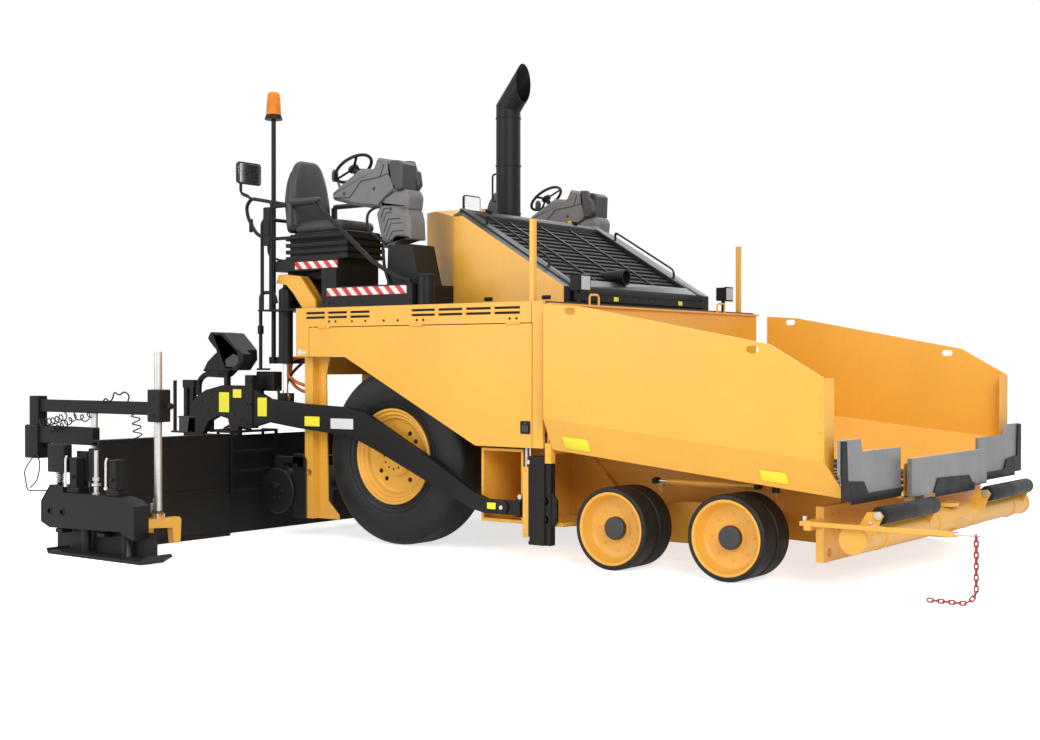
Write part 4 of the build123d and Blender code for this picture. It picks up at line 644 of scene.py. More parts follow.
def rear_tyre():
    """Smooth tyre: one half profile of (outward, radius) points, mirrored about the wheel's middle."""
    edge = TYRE_WIDTH / 2
    side = [(134, 332), (152, 338), (169, 352), (177, 371), (194, 404), (208, 440), (edge - 2, 470),
            (edge - 3, 476), (edge, 484), (edge, 535), (edge - 8, 580), (edge - 20, 620), (edge - 38, 648),
            (edge - 62, 667), (edge - 92, TYRE_R - 4), (edge - 130, TYRE_R)]
    half = rounded(side, 14, 3, closed=False)
    profile = np.vstack([half, half[::-1] * (-1.0, 1.0)])
    tyre = lathe(profile, (0, -TYRE_Y, TYRE_R), segments=120)
    rings = [lathe(((s * r_out - 3, r), (s * r_out - 3, r + 5), (s * r_out + 3, r + 5), (s * r_out + 3, r)),
                   (0, -TYRE_Y, TYRE_R), segments=120, corner=2) for s in (-1, 1)
             for r_out, r in ((192, 392), (206, 424))]
    return joined(tyre, *rings)


def rear_rim():
    """Deep rim with three rolled rings, a disc and a flat hub, bored at the back for the axle."""
    profile = ((-133, 331), (-133, 313), (90, 301), (90, 150), (60, 130), (60, 100.3), (140, 100.3),
               (140, 0.01), (176, 0.01), (176, 118), (171, 130), (158, 137), (150, 149), (120, 153),
               (120, 262), (124, 276), (136, 286), (150, 291), (158, 298), (152, 306), (160, 314),
               (172, 319), (178, 327), (172, 335), (180, 344), (192, 349), (198, 358), (193, 368),
               (172, 367), (146, 332))
    return lathe(profile, (0, -TYRE_Y, TYRE_R), segments=120, corner=5)


def rim_bolts():
    """Four pairs of wheel bolts and the small ring on the hub's face."""
    places = []
    for quarter in range(4):
        for turn in (-11, 11):
            angle = math.radians(45 + quarter * 90 + turn)
            places.append((math.cos(angle) * 212, -TYRE_Y - 120, TYRE_R + math.sin(angle) * 212))
    ring = [(across, -TYRE_Y - 176, TYRE_R + up) for across, up in ring_of(12, 96)]
    return joined(bolts(places, 1, 13, 14), bolts(ring, 1, 6, 3))


def front_rim(x, radius):
    """Yellow dish whose wall curves into a flat disc, bored at the back for the spindle."""
    profile = ((-175, 247.5), (-175, 226), (44, 216), (44, 90), (-60, 90), (-60, 42), (80, 42), (80, 0.01),
               (90, 0.01), (90, 70), (70, 84), (70, 150), (74, 186), (88, 205), (128, 219), (160, 225),
               (172, 229), (177, 238), (175, 247.5))
    return lathe(profile, (x, -FRONT_Y, radius), segments=96, corner=7)


def front_bands(x, radius):
    """Two rubber bands with a groove between them and soft shoulders."""
    one = ((12, 249), (12, radius - 9), (19, radius), (160, radius), (170, radius - 4), (175, radius - 14),
           (175, 249))
    outer = lathe(one, (x, -FRONT_Y, radius), segments=96, corner=5)
    inner = lathe([(-a, r) for a, r in one], (x, -FRONT_Y, radius), segments=96, corner=5)
    return joined(outer, inner)


def ring_of(count, radius):
    """Even places round a circle: (r cos a, r sin a)."""
    angle = np.linspace(0, 2 * math.pi, count, endpoint=False)
    return zip(np.cos(angle) * radius, np.sin(angle) * radius)


def front_cap(x, radius):
    """Hub cap and the small heads round it."""
    profile = ((80, 0.01), (80, 66), (88, 78), (124, 78), (132, 70), (133, 0.01))
    places = [(x + across, -FRONT_Y - 70, radius + up) for across, up in ring_of(8, 150)]
    return lathe(profile, (x, -FRONT_Y, radius), segments=48, corner=4), bolts(places, 1, 8, 4)


def put_wheels():
    for side, turn in SIDES:
        body = f"rear_wheel_{side}"
        mesh_piece(f"rear_tyre_skin_{side}", turn(rear_tyre()), TYRE, body, [f"rear_tyre_{side}"])
        mesh_piece(f"rear_rim_dish_{side}", turn(rear_rim()), YELLOW, body, [f"rear_rim_{side}"])
        mesh_piece(f"rear_rim_bolts_{side}", turn(rim_bolts()), BLACK, body)
        for place in ("rear", "fore"):
            node = f"front_wheel_{place}_{side}"
            low, high = span(node)
            x, radius = (low[0] + high[0]) / 2, (high[2] - low[2]) / 2
            cap, heads = front_cap(x, radius)
            mesh_piece(f"front_rim_{place}_{side}", turn(front_rim(x, radius)), YELLOW, node,
                       [node])
            mesh_piece(f"front_bands_{place}_{side}", turn(front_bands(x, radius)), TYRE, node)
            mesh_piece(f"front_cap_{place}_{side}", turn(cap), DARK_GREY, node)
            mesh_piece(f"front_rim_heads_{place}_{side}", turn(heads), YELLOW, node)


# Hood, lamps and stack

def grille_lid():
    """The sloping lid: a bevelled frame round woven panels, ribs, the intake stub and two grab rails."""
    def tilted(shell):
        points = shell[0].copy()
        points[:, 2] += GRILLE_TOP - LID_SLOPE * (points[:, 0] - GRILLE_REAR)
        return points, shell[1]

    half = GRILLE_HALF
    frame_parts = [box((GRILLE_REAR, GRILLE_FRONT), (s * half, s * (half - 116)), (-44, 12), 4, 9)
                   for s in (1, -1)]
    frame_parts += [box((GRILLE_REAR, GRILLE_REAR + 74), (-half + 110, half - 110), (-44, 10), 4, 8),
                    box((GRILLE_FRONT - 118, GRILLE_FRONT), (-half + 110, half - 110), (-44, 10), 4, 8)]
    frame_parts += [box((GRILLE_REAR + 70, GRILLE_FRONT - 110), (y - 11, y + 11), (-38, -16))
                    for y in (-420, 0, 420)]
    ribs = [box((x, x + 12), (-half + 110, half - 110), (-34, -18), 0, 3)
            for x in np.linspace(GRILLE_REAR + 110, GRILLE_FRONT - 150, 15)]
    panel = tilted(box((GRILLE_REAR + 60, GRILLE_FRONT - 100), (-half + 100, half - 100), (-38, -32), 0, 1))
    lip = box((GRILLE_FRONT - 15, GRILLE_FRONT), (-half, half), (1850, 1906), 3, 4)
    stub = lathe(((1050, 38), (1050, 48), (1262, 62), (1292, 62), (1292, 52), (1262, 52)),
                 (0, -150, GRILLE_TOP - LID_SLOPE * (1180 - GRILLE_REAR) + 14), 0, 40, 3, sign=1.0)
    rails = []
    for y in (-half + 58, half - 58):
        rails.append(tilted(tube([(500, y, 8), (500, y, 78), (1090, y, 78), (1090, y, 8)], 10, 40)))
    straps = []
    for y in (-600, 600):
        straps.append(lathe(((y - 22, 7.4), (y - 22, 13), (y + 22, 13), (y + 22, 7.4)), (258, 0, 2608),
                            segments=24, sign=1.0))
        straps.append(box((268, 306), (y - 21, y + 21), (2588, 2611), 3, 3))
    ribs = tilted(joined(*ribs))
    black = joined(tilted(joined(*frame_parts)), lip, stub, *rails, *straps)
    plates = joined(*[box((GRILLE_FRONT, GRILLE_FRONT + 3), (y - 32, y + 32), (1862, 1896), 4, 1)
                      for y in (-395, 560)])
    heads = bolts([(GRILLE_FRONT, y, 1878) for y in (-900, -640, -130, 130, 640, 900)], 0, 8, 5, sign=1.0)
    return black, ribs, panel, plates, heads


def put_hood():
    black, ribs, panel, plates, heads = grille_lid()
    # The ribs get the darker black of painted shade.
    mesh_piece("grille_ribs", ribs, RIB_BLACK_PAINTED_SHADE, "hood_lid")
    mesh_piece("grille_frame", black, BLACK, "hood_lid", ["hood_grille"])
    mesh_piece("grille_mesh", panel, MESH, "hood_lid")
    mesh_piece("grille_plates", plates, LABEL, "hood_lid")
    mesh_piece("grille_heads", heads, DARK_STEEL, "hood_lid")

    def under_lid(x, y, z, n):
        return (x > GRILLE_REAR - 8 and n.z > 0.2 and z > 1900) or (x > GRILLE_FRONT - 40 and n.x > 0.9)

    patch("hood", BLACK, under_lid)
    hinges = [joined(box((x - 40, x + 40), (-1063, -1059), (DECK_Z + 36, DECK_Z + 66), 6, 1.5),
                     rod((x - 32, -1066, DECK_Z + 51), (x + 32, -1066, DECK_Z + 51), 7, 12))
              for x in (640, 1180)]
    mesh_piece("hood_fittings", both(joined(*hinges)), BLACK, "chassis")
    rings = [lathe(((z, 103), (z, 108), (z + 14, 108), (z + 14, 103)), (18, 0, 0), 2, 48, 2, sign=1.0)
             for z in (2640, 3040, 3440)]
    handle = tube([(-80, 0, 2760), (-150, 0, 2760), (-150, 0, 2990), (-80, 0, 2990)], 8, 30)
    mesh_piece("stack_fittings", joined(*rings, handle), BLACK, "chassis")


def lamps():
    """A work lamp: the fins of its case, a bezel, two bolts at its foot, and the glass."""
    case = [box((1432, 1452), (-1122, -1010), (z, z + 7), 0, 1) for z in np.arange(1922, 2016, 14)]
    bezel = box((1518, 1532), (-1132, -1000), (1909, 2031), 10, 4)
    foot = joined(bolt((1472, -1078, 1826), 2, 9, 6, sign=1.0), bolt((1472, -1054, 1826), 2, 9, 6, sign=1.0))
    return joined(*case, bezel, foot), box((1531, 1535), (-1120, -1012), (1921, 2019), 8, 1)


# Stations

def seat_back():
    """Back pad that narrows to the head, leaning back a little."""
    outline = [(y - STATION_Y, z) for y, z in ((-206, 2452), (-222, 2560), (-218, 2700), (-190, 2860),
                                               (-142, 2978), (-90, 3026), (90, 3026), (142, 2978),
                                               (190, 2860), (218, 2700), (222, 2560), (206, 2452))]
    return turned_about(pad(outline, 0, -1052, -968, 34, 16, 40), 1, SEAT_FOOT, SEAT_LEAN)


def seat_shell():
    """Hard back, the armrests and the slide under the cushion."""
    outline = [(y - STATION_Y, z) for y, z in ((-200, 2440), (-214, 2700), (-178, 2850), (-120, 2960),
                                               (120, 2960), (178, 2850), (214, 2700), (200, 2440))]
    back = turned_about(slab(outline, 0, -1080, -1050, 12, 40), 1, SEAT_FOOT, SEAT_LEAN)
    arms = []
    for s in (-1, 1):
        y = -STATION_Y + s * 252
        arms.append(box((-985, -655), (y - 28, y + 28), (2656, 2694), 20, 14))
        arms.append(box((-1010, -960), (y - 14, y + 14), (2480, 2670), 8, 4))
        arms.append(rod((-990, y - s * 40, 2500), (-990, y + s * 16, 2500), 20, 18))
    slide = box((-1000, -420), (-STATION_Y - 190, -STATION_Y + 190), (2412, 2428), 12, 5)
    return joined(back, *arms, slide)


def seat_cushion():
    """Stuffed cushion, a little wider at its front edge."""
    outline = [(-1004, -STATION_Y - 206), (-476, -STATION_Y - 214), (-476, -STATION_Y + 214),
               (-1004, -STATION_Y + 206)]
    return pad(outline, 2, 2426, 2516, 36, 16, 70)


def bellows():
    """Folded rubber skirt of the seat's suspension: a rounded rectangle whose size swings with height."""
    rings = []
    folds = 4
    base = [(-985, -STATION_Y - 176), (-500, -STATION_Y - 176), (-500, -STATION_Y + 176),
            (-985, -STATION_Y + 176)]
    outline = rounded(base, 60, 5)
    for step in np.linspace(0, folds, folds * 8 + 1):
        swell = -24 * abs(math.sin(math.pi * step)) ** 0.7
        rings.append(on_axis(inset(outline, swell), 2, 2212 + step * 50))
    return capped(rings)


def console_casing():
    """Armoured grey neck, round elbow and arm of the console, each a slab with broad bevels."""
    middle = -STATION_Y
    neck = [(-134, 2278), (-206, 2548), (-150, 2610), (-90, 2640), (31, 2600), (118, 2560), (141, 2480),
            (150, 2330), (12, 2341), (-33, 2274)]
    elbow = [(-160, 2600), (-103, 2680), (-6, 2722), (100, 2718), (132, 2660), (118, 2560), (31, 2560)]
    arm = [(-672, 2734), (-582, 2788), (-359, 2908), (-230, 2892), (-184, 2978), (-40, 2950), (-30, 2850),
           (30, 2722), (-15, 2700), (-173, 2585), (-303, 2606), (-377, 2612), (-652, 2680)]
    return joined(slab(neck, 1, middle - 104, middle + 104, 22, 18),
                  slab(elbow, 1, middle - 110, middle + 110, 30, 24),
                  slab(arm, 1, middle - 116, middle + 116, 26, 16))


def console_trim():
    """Raised chevrons, grooves, bolts, the two display housings, switches and the lever."""
    middle = -STATION_Y
    lines = []
    for s in (-1, 1):
        y = middle + s * 105
        for a, b, c in (((-141, 2511), (-111, 2580), (-52, 2578)), ((-111, 2398), (-66, 2495), (53, 2494)),
                        ((-59, 2339), (-25, 2401), (90, 2400))):
            lines.append(tube([(p[0], y, p[1]) for p in (a, b, c)], 4, 14, 8))
            lines.append(tube([(p[0] + 22, y, p[1] - 34) for p in (a, b, c)], 3, 14, 8))
        y = middle + s * 116
        lines.append(tube([(x, y, z) for x, z in ((-640, 2696), (-462, 2684), (-342, 2806), (-139, 2823),
                                                  (-105, 2915))], 5, 20, 8))
        lines.append(tube([(x, y, z) for x, z in ((-139, 2823), (-60, 2845), (22, 2722))], 4, 12, 8))
        lines.append(tube([(x, y + s * -4, z) for x, z in ((-176, 2590), (-103, 2660), (-15, 2704))],
                          6, 20, 8))
        lines.append(bolts([(-43, middle + s * 104, 2572), (-51, middle + s * 104, 2322)], 1, 11, 7, sign=s))
        lines.append(bolts([(-205, middle + s * 116, 2739), (-520, middle + s * 116, 2720)],
                           1, 11, 7, sign=s))
    near = slab([(-60, 2918), (-20, 2944), (50, 2936), (86, 2905), (78, 2716), (30, 2704), (-24, 2760)], 1,
                middle - 122, middle + 60, 12, 10)
    far = slab([(-60, 2960), (10, 2956), (40, 2880), (72, 2868), (92, 2762), (44, 2708), (-20, 2708)], 1,
               middle + 66, middle + 132, 14, 12)
    gap = box((0, 40), (middle + 56, middle + 70), (2730, 2860), 3, 2)
    switches = [box((x, x + 16), (y - 8, y + 8), (2790, 2815), 3, 2)
                for x in (-300, -340, -380, -420) for y in (middle - 80, middle + 80)]
    lever = joined(tube([(-600, middle - 60, 2740), (-640, middle - 64, 2830), (-668, middle - 64, 2850)],
                        9, 20),
                   lathe(((0, 0.01), (0, 18), (20, 27), (70, 27), (96, 15), (96, 0.01)),
                         (-670, middle - 64, 2830), 2, 20, 6, sign=1.0))
    return joined(*lines, near, far, gap, *switches, lever)


def steering_ring():
    """Wheel rim with three spokes and hub, tilted towards the seat, and its button."""
    turn = np.linspace(0, 2 * math.pi, 48, endpoint=False)
    ring = swept(np.stack([np.cos(turn) * 158, np.sin(turn) * 158, turn * 0], axis=1), circle(13, 12),
                 closed=True)
    spokes = [turned_about(box((30, 152), (-12, 12), (-6, 4), 4, 3), 2, (0, 0, 0), a) for a in (90, 210, 330)]
    hub = lathe(((-60, 0.01), (-60, 20), (-16, 24), (-14, 44), (10, 44), (14, 36), (14, 0.01)), (0, 0, 0),
                2, 32, 4, sign=1.0)
    button = lathe(((12, 0.01), (12, 22), (24, 20), (24, 0.01)), (0, 0, 0), 2, 24, 3, sign=1.0)
    wheel = joined(ring, hub, *spokes)
    return [moved(turned_about(shell, 1, (0, 0, 0), WHEEL_TILT), WHEEL_AT) for shell in (wheel, button)]


def station_trim():
    """Cover plates, the control box, cables, the lid of the round post, a column and bolts."""
    cover = [box((-470, -64), (-1500, -1120), (1915, 1921), 8, 2),
             box((-1180, -490), (-1510, -1090), (2210, 2216), 8, 2)]
    control = joined(box((-1274, -1200), (-1572, -1520), (2337, 2647), 8, 5),
                     box((-1268, -1206), (-1578, -1570), (2420, 2560), 6, 3))
    cables = [tube([(-1240, -1545, 2337), (-1240, -1540, 2260), (-1150, -1500, 2216),
                    (-1000, -1490, 2216)], 9, 60),
              tube([(-1225, -1530, 2337), (-1225, -1525, 2240), (-1120, -1470, 2216)], 7, 50),
              tube([(-100, -1430, 2280), (-70, -1445, 2120), (-20, -1440, 1990), (60, -1430, 1922)],
                   12, 60),
              tube([(-150, -1360, 2620), (-240, -1455, 2560), (-240, -1455, 2420), (-60, -1435, 2300)],
                   11, 60)]
    lid = lathe(((2036, 0.01), (2036, 72), (2052, 72), (2058, 60), (2058, 0.01)), (368, -1467, 0),
                2, 40, 4, sign=1.0)
    column = box((276, 300), (-1500, -1440), (1850, 1990), 4, 3)
    heads = bolts([(x, -1547, z) for x, z in ((-620, 1870), (280, 1860), (-560, 1860), (-200, 1860))],
                  1, 8, 5)
    return joined(*cover, control, *cables, lid, column, heads)


def band_panels():
    """Striped panels on the edges of the seat tray and the step."""
    return joined(box((-949, -484), (-1531.5, -1526), (2137, 2194), 3, 1),
                  box((-579, 246), (-1551.5, -1546), (1912, 1974), 3, 1))


def put_stations():
    mesh_piece("seat_shells", both(seat_shell()), DARK_GREY, "chassis", ["seats"])
    for side, turn in SIDES:
        mesh_piece(f"seat_back_{side}", turn(seat_back()), VINYL, "chassis")
        mesh_piece(f"seat_cushion_{side}", turn(seat_cushion()), VINYL, "chassis")
    mesh_piece("seat_bellows", both(bellows()), RUBBER, "chassis")
    mesh_piece("console_casings", both(console_casing()), GREY, "chassis", ["consoles"])
    mesh_piece("console_trim", both(console_trim()), DARK_GREY, "chassis")
    ring, button = steering_ring()
    mesh_piece("steering_wheels", both(ring), RUBBER, "chassis")
    mesh_piece("horn_buttons", both(button), RED, "chassis")
    screen = slab([(-52, 2905), (-18, 2740), (-12, 2742), (-46, 2907)], 1, -STATION_Y - 112,
                  -STATION_Y + 112, 1, 0)
    mesh_piece("display_glass", both(screen), GLASS, "chassis")
    mesh_piece("station_trim", both(station_trim()), BLACK, "chassis")
    mesh_piece("band_panels", both(band_panels()), BANDS, "chassis")
    cases, glass = lamps()
    mesh_piece("lamp_cases", both(cases), BLACK, "chassis")
    mesh_piece("lamp_glass", both(glass), GLASS, "chassis")
    mirror = slab([(-1584, 2873), (-1346, 2873), (-1346, 3031), (-1584, 3031)], 0, -1549, -1546, 1, 18)
    mesh_piece("mirror_glass", both(mirror), MIRROR, "chassis")
    mesh_piece("rear_hoops", both(rear_hoops()), BLACK, "chassis")
    patch("station_platforms", DECK, lambda x, y, z, n: n.z > 0.9 and z < 2050)
    patch("handrails", DECK, lambda x, y, z, n: n.z > 0.9 and 1820 < z < 1830)


def beacon():
    """Amber lens with fine rings, on a black base."""
    low, high = span("beacon_lens")
    x, y = (low[0] + high[0]) / 2, (low[1] + high[1]) / 2
    rings = [(low[2] + 22, 0.01), (low[2] + 22, 60)]
    for step in np.linspace(0, 1, 45):
        rings.append((low[2] + 24 + step * (high[2] - low[2] - 44),
                      60 - 12 * step ** 1.5 + 1.3 * math.cos(step * 44 * math.pi)))
    rings += [(high[2] - 8, 42), (high[2], 24), (high[2], 0.01)]
    lens = lathe(rings, (x, y, 0), 2, 48, 0, sign=1.0)
    base = lathe(((low[2] - 6, 0.01), (low[2] - 6, 66), (low[2] + 16, 66), (low[2] + 24, 60),
                  (low[2] + 24, 0.01)), (x, y, 0), 2, 40, 3, sign=1.0)
    return lens, base


# Augers, chain and push rollers

def auger_screw():
    """Shaft and flight: at angle t the flight's section stands at y = -(start + lead t / 2 pi)."""
    low, high = span("auger_right")
    x, z = (low[0] + high[0]) / 2, (low[2] + high[2]) / 2
    section = np.array(((42, -9), (180, -6), (186, -2), (186, 2), (180, 6), (42, 9)), float)
    start, lead, turns = 136, 300, 4.32
    rings = []
    for angle in np.linspace(0, 2 * math.pi * turns, 118):
        y = -(start + lead * angle / (2 * math.pi))
        rings.append(np.stack([x + section[:, 0] * math.cos(angle), y - section[:, 1],
                               z + section[:, 0] * math.sin(angle)], axis=1))
    shaft = lathe(((76, 0.01), (76, 25), (130, 25), (130, 45), (1440, 45), (1440, 25), (1467, 25),
                   (1467, 0.01)), (x, 0, z), segments=40)
    return joined(capped(rings), shaft)


def chain_links():
    """Links along the path: down from the rod, round a quarter turn, and back along the ground."""
    low, high = span("guide_chain")
    y = (low[1] + high[1]) / 2
    turn = np.linspace(0, 2 * math.pi, 14, endpoint=False)
    along = np.cos(turn) * 11.0 + np.where(np.cos(turn) >= 0, 9.0, -9.0)
    across = np.sin(turn) * 11.0
    tip_x, tip_z, drop, bend, pitch = 4550, 400.0, 287.5, 90.0, 32.0
    links = []
    for index in range(20):
        run = index * pitch
        angle = min(max((run - drop) / bend, 0.0), math.pi / 2)
        trail = max(run - drop - bend * math.pi / 2, 0.0)
        centre = np.array((tip_x - bend * (1 - math.cos(angle)) - trail, y,
                           tip_z - min(run, drop) - bend * math.sin(angle)))
        forward = np.array((-math.sin(angle), 0, -math.cos(angle)))
        side = np.array((math.cos(angle), 0, -math.sin(angle))) if index % 2 else np.array((0.0, 1.0, 0.0))
        path = centre + along[:, None] * forward + across[:, None] * side
        links.append(swept(path, circle(5, 7), closed=True))
    return joined(*links)


def push_rollers():
    """Rubber roller with soft ends on its stub shafts."""
    profile = ((488, 0.01), (488, 18), (510, 18), (510, 46), (513, 52), (519, 55), (1374, 55), (1380, 52),
               (1383, 46), (1383, 18), (1405, 18), (1405, 0.01))
    return lathe(profile, ROLLER_AXIS, segments=56)


# Front aprons and push beam

def toothed(y, low, high, pitch=33.0):
    """Outline of a rubber skirt with square teeth along its lower edge."""
    count = max(2, int((y[1] - y[0]) / pitch))
    step = (y[1] - y[0]) / count
    lower = []
    for index in range(count):
        start = y[0] + index * step
        lower += [(start, low), (start + step * 0.66, low), (start + step * 0.66, high), (start + step, high)]
    return lower + [(y[1], high + 30), (y[0], high + 30)]


def apron_rubber():
    """Black rubber on the grey plates: stepped blocks and skirts with teeth."""
    block_right = [(-1642, 562), (-1642, 925), (-1572, 925), (-1550, 684), (-1318, 668), (-1252, 592),
                   (-722, 592), (-722, 562)]
    wing = joined(slab(block_right, 0, 3762, 3772, 3, 8),
                  slab(toothed((-1500, -722), 536, 556), 0, 3763, 3769, 1))
    middle = joined(slab([(-345, 532), (-262, 628), (330, 612), (415, 540), (690, 536), (690, 532)],
                         0, 3827, 3836, 3, 6),
                    slab(toothed((-300, 440), 500, 524), 0, 3828, 3834, 1))
    return wing, middle


def beam_trim():
    """End disc, clamp rings and middle bar of the push beam, then the rollers' pins and bolts."""
    disc = lathe(((1516, 0.01), (1516, 90), (1523, 90), (1526, 86), (1526, 0.01)), BEAM_AXIS, segments=56)
    rings = [lathe(((y, 82), (y, 91), (y + 14, 91), (y + 14, 82)), BEAM_AXIS, segments=56, corner=2)
             for y in (300, 1190)]
    bar = tube([(3869, -40, 318), (3874, -70, 318), (3874, 70, 330), (3869, 40, 330)], 8, 20, 10)
    pins = [lathe(((y, 0.01), (y, 26), (y + 9, 22), (y + 9, 0.01)), ROLLER_AXIS, segments=28)
            for y in (1406, 480)]
    heads = bolts([(3846, -1405, 424), (3872, -1405, 408)], 1, 9, 6)
    return joined(disc, *rings, bar), joined(*pins, heads)


def nose_trim():
    """Bolt rows on the nose plate, and the eye of the guide bar."""
    rows = bolts([(3541, y, z) for y in (-1260, -1180) for z in (330, 440)], 0, 10, 7, sign=1.0)
    eye = lathe(((0, 0.01), (0, 15), (34, 15), (34, 0.01)), (3490, -1560, 426), 2, 20, 3, sign=1.0)
    return rows, eye


# Labels, latches and screws on the sides

def leaning(shell):
    """Laid on the wing's lower wall: below the bend, y runs inwards by a fixed share of the drop."""
    points = shell[0].copy()
    bend = BEND_Z - BEND_SLOPE * (points[:, 0] - WING_REAR)
    points[:, 2] -= 0.08 * (points[:, 0] - points[:, 0].mean())
    points[:, 1] += np.maximum(bend - points[:, 2], 0.0) * WALL_LEAN
    return points, shell[1]


def plate_y(x, z, y, corner=6.0, depth=2.0):
    """A thin plate on a side face at y."""
    return slab([(x[0], z[0]), (x[1], z[0]), (x[1], z[1]), (x[0], z[1])], 1, y - depth, y + 1, 0.6, corner)


def wing_trim():
    """Blank plates on the lower wall, and bolts along the wing's front edge."""
    plates = [leaning(plate_y((1706, 1918), (800, 886), -1660)),
              leaning(plate_y((3200, 3386), (654, 726), -1660))]
    heads = bolts([(3640, -1657, z) for z in (980, 1080, 1180)], 1, 8, 5)
    return joined(*plates), heads


def door_trim():
    """Latch of the door: its recess, then the paddle with the round lock above it."""
    recess = plate_y((1314, 1402), (896, 988), -1558, 14, 1.5)
    paddle = slab([(1330, 912), (1386, 912), (1386, 956), (1330, 956)], 1, -1567, -1558, 3, 8)
    barrel = lathe(((1558, 0.01), (1558, 11), (1563, 11), (1563, 0.01)), (1358, 0, 972), segments=20)
    return recess, joined(paddle, barrel)


def side_trim():
    """Screws, the seam, a black strip of painted shade at the floor of the band's recess, the leg beside the
    door, and two white plates.
    """
    screws = bolts([(x, DOOR_FACE, 1713 - x * 0.005)
                    for x in (-545, -476, -303, -163, 26, 166, 355, 418, 1219, 1280)], 1, 7, 4)
    seam = box((1408.5, 1411.5), (-1557.6, -1555), (1679, 1822), 0, 0.4)
    # Black strip 14 mm in from the door's face, at the floor of the recessed band: painted shade.
    back = box((-730, 1400), (-1543, -1540), (1662, 1692), 0, 1)
    leg = joined(box((1524, 1577), (-1556, -1500), (697, 838), 4, 3), bolt((1551, DOOR_FACE, 760), 1, 9, 6))
    plates = joined(plate_y((-886, -846), (1458, 1500), -1558, 3),
                    plate_y((-838, -796), (1464, 1488), -1558, 3))
    return joined(screws, seam, back), leg, plates


def arm_labels():
    """Blank plates on the tow arm and its yoke, all on the outer face."""
    yellow = [plate_y((-1830, -1707), (985, 1150), -1543, 5), plate_y((-1361, -1255), (960, 1112), -1547, 5),
              plate_y((-824, -660), (895, 972), -1547, 5), plate_y((1010, 1088), (352, 398), -1547, 5),
              plate_y((-1660, -1560), (1106, 1176), -1543, 5)]
    white = plate_y((-539, -300), (882, 962), -1547, 5)
    return joined(*yellow), white


def arm_trim():
    """Screws on the arm and yoke, the rims of the arm's holes, and the bolts of its plate."""
    screws = bolts([(x, -1541, z) for x, z in ((-2050, 1078), (-1975, 1000), (-1930, 1108), (-1560, 930),
                                               (-1650, 975))], 1, 9, 5)
    rims = [lathe(((1545, 12), (1545, 26), (1548, 24), (1548, 12)), (x, 0, z), segments=28)
            for x, z in ((-1130, 1016), (-470, 930))]
    plate = joined(*[bolt((x, -1558, z), 1, 10, 6) for x in (-1482, -1438) for z in (900, 1060, 1250)])
    return joined(screws, *rims, plate)


# Screed

def screed_trim():
    """Lids, ribs and bolts of the main screed, the control housings and the posts behind the yoke."""
    pod = slab([(-1863, 1641), (-1751, 1640), (-1503, 1465), (-1503, 1394), (-1563, 1332),
                (-1712, 1332), (-1725, 1502)], 1, -1590, -1475, 16, 14)
    face = slab([(-1700, 1420), (-1600, 1470), (-1540, 1440), (-1545, 1390), (-1590, 1360), (-1690, 1360)],
                1, -1594, -1588, 2, 10)
    knee = slab([(-2040, 1325), (-1990, 1400), (-1880, 1478), (-1735, 1470), (-1712, 1310), (-1860, 1290)],
                1, -1545, -1475, 12, 14)
    arm = tube([(-1700, -1480, 1340), (-1760, -1490, 1290), (-2050, -1500, 1300), (-2130, -1500, 1240),
                (-2130, -1500, 1120)], 24, 60)
    posts = joined(*[box((x, x + 44), (-1522, -1478), (800, 1245), 6, 4) for x in (-2306, -2226)],
                   box((-2316, -2172), (-1526, -1474), (1180, 1250), 8, 5),
                   rod((-2440, -1500, 800), (-2440, -1500, 1243), 16, 16),
                   box((-2470, -2170), (-1524, -1476), (796, 812), 4, 3))
    case = box((-1509, -1300), (-1430, -1330), (1163, 1323), 12, 6)
    foot = box((-1490, -1440), (-1430, -1400), (1060, 1170), 4, 3)
    back = joined(*[box((-2262, -2250), (y - 6, y + 6), (30, 548), 0, 2)
                    for y in np.linspace(-1400, 1400, 9)])
    lids = joined(*[box((-2220, -1640), (y - 330, y + 330), (575, 588), 20, 4)
                    for y in (-1060, -360, 360, 1060)])
    grips = joined(*[tube([(-1960, y, 586), (-1960, y, 616), (-1860, y, 616), (-1860, y, 586)], 7, 14, 8)
                     for y in (-1060, -360, 360, 1060)])
    heads = bolts([(x, y, 588) for y in (-1360, -760, -660, -60, 60, 660, 760, 1360)
                   for x in (-2180, -1680)], 2, 9, 6, sign=1.0)
    return joined(both(joined(pod, knee, arm, posts, case, foot)), back, lids, grips, heads), both(face)


def tread_box():
    """Step box with raised lozenges beside the yoke."""
    return joined(box((-2346, -2128), (-1540, -1330), (806, 937), 8, 4),
                  box((-2352, -2122), (-1546, -1324), (930, 942), 8, 3))


def walkway_trim():
    """Cleats under the walkway, and the bolts along its rear edge."""
    cleats = [box((-2880, -2270), (y - 5, y + 5), (296, 311), 0, 2) for y in np.linspace(-1400, 1400, 7)]
    return joined(*cleats, *[bolt((-2894, y, 400), 0, 9, 6) for y in np.linspace(-1350, 1350, 10)])


def extension_trim():
    """Folded edges, bolts, ribs and a cover on the sliding extension."""
    front = -1475
    y = (-3072, -1760)
    fold = box((front - 2, front + 9), y, (372, 388), 0, 3)
    top = box((front - 8, front + 6), (-2996, -1760), (806, 822), 0, 3)
    shoe = box((front - 2, front + 14), (-3072, -1750), (2, 30), 0, 4)
    seam = box((front - 1, front + 2.5), (-1760, -1752), (30, 806), 0, 1)
    heads = bolts([(front, y, z) for y in (-2960, -2620, -2280, -1940) for z in (60, 350)], 0, 8, 5, sign=1.0)
    cover = box((-1870, -1640), (-3040, -2760), (430, 442), 10, 4)
    ribs = [box((-1600, -1586), (y - 5, y + 5), (440, 800), 0, 2) for y in (-2600, -2300, -2000)]
    return joined(fold, top, shoe, seam, heads, cover, *ribs)


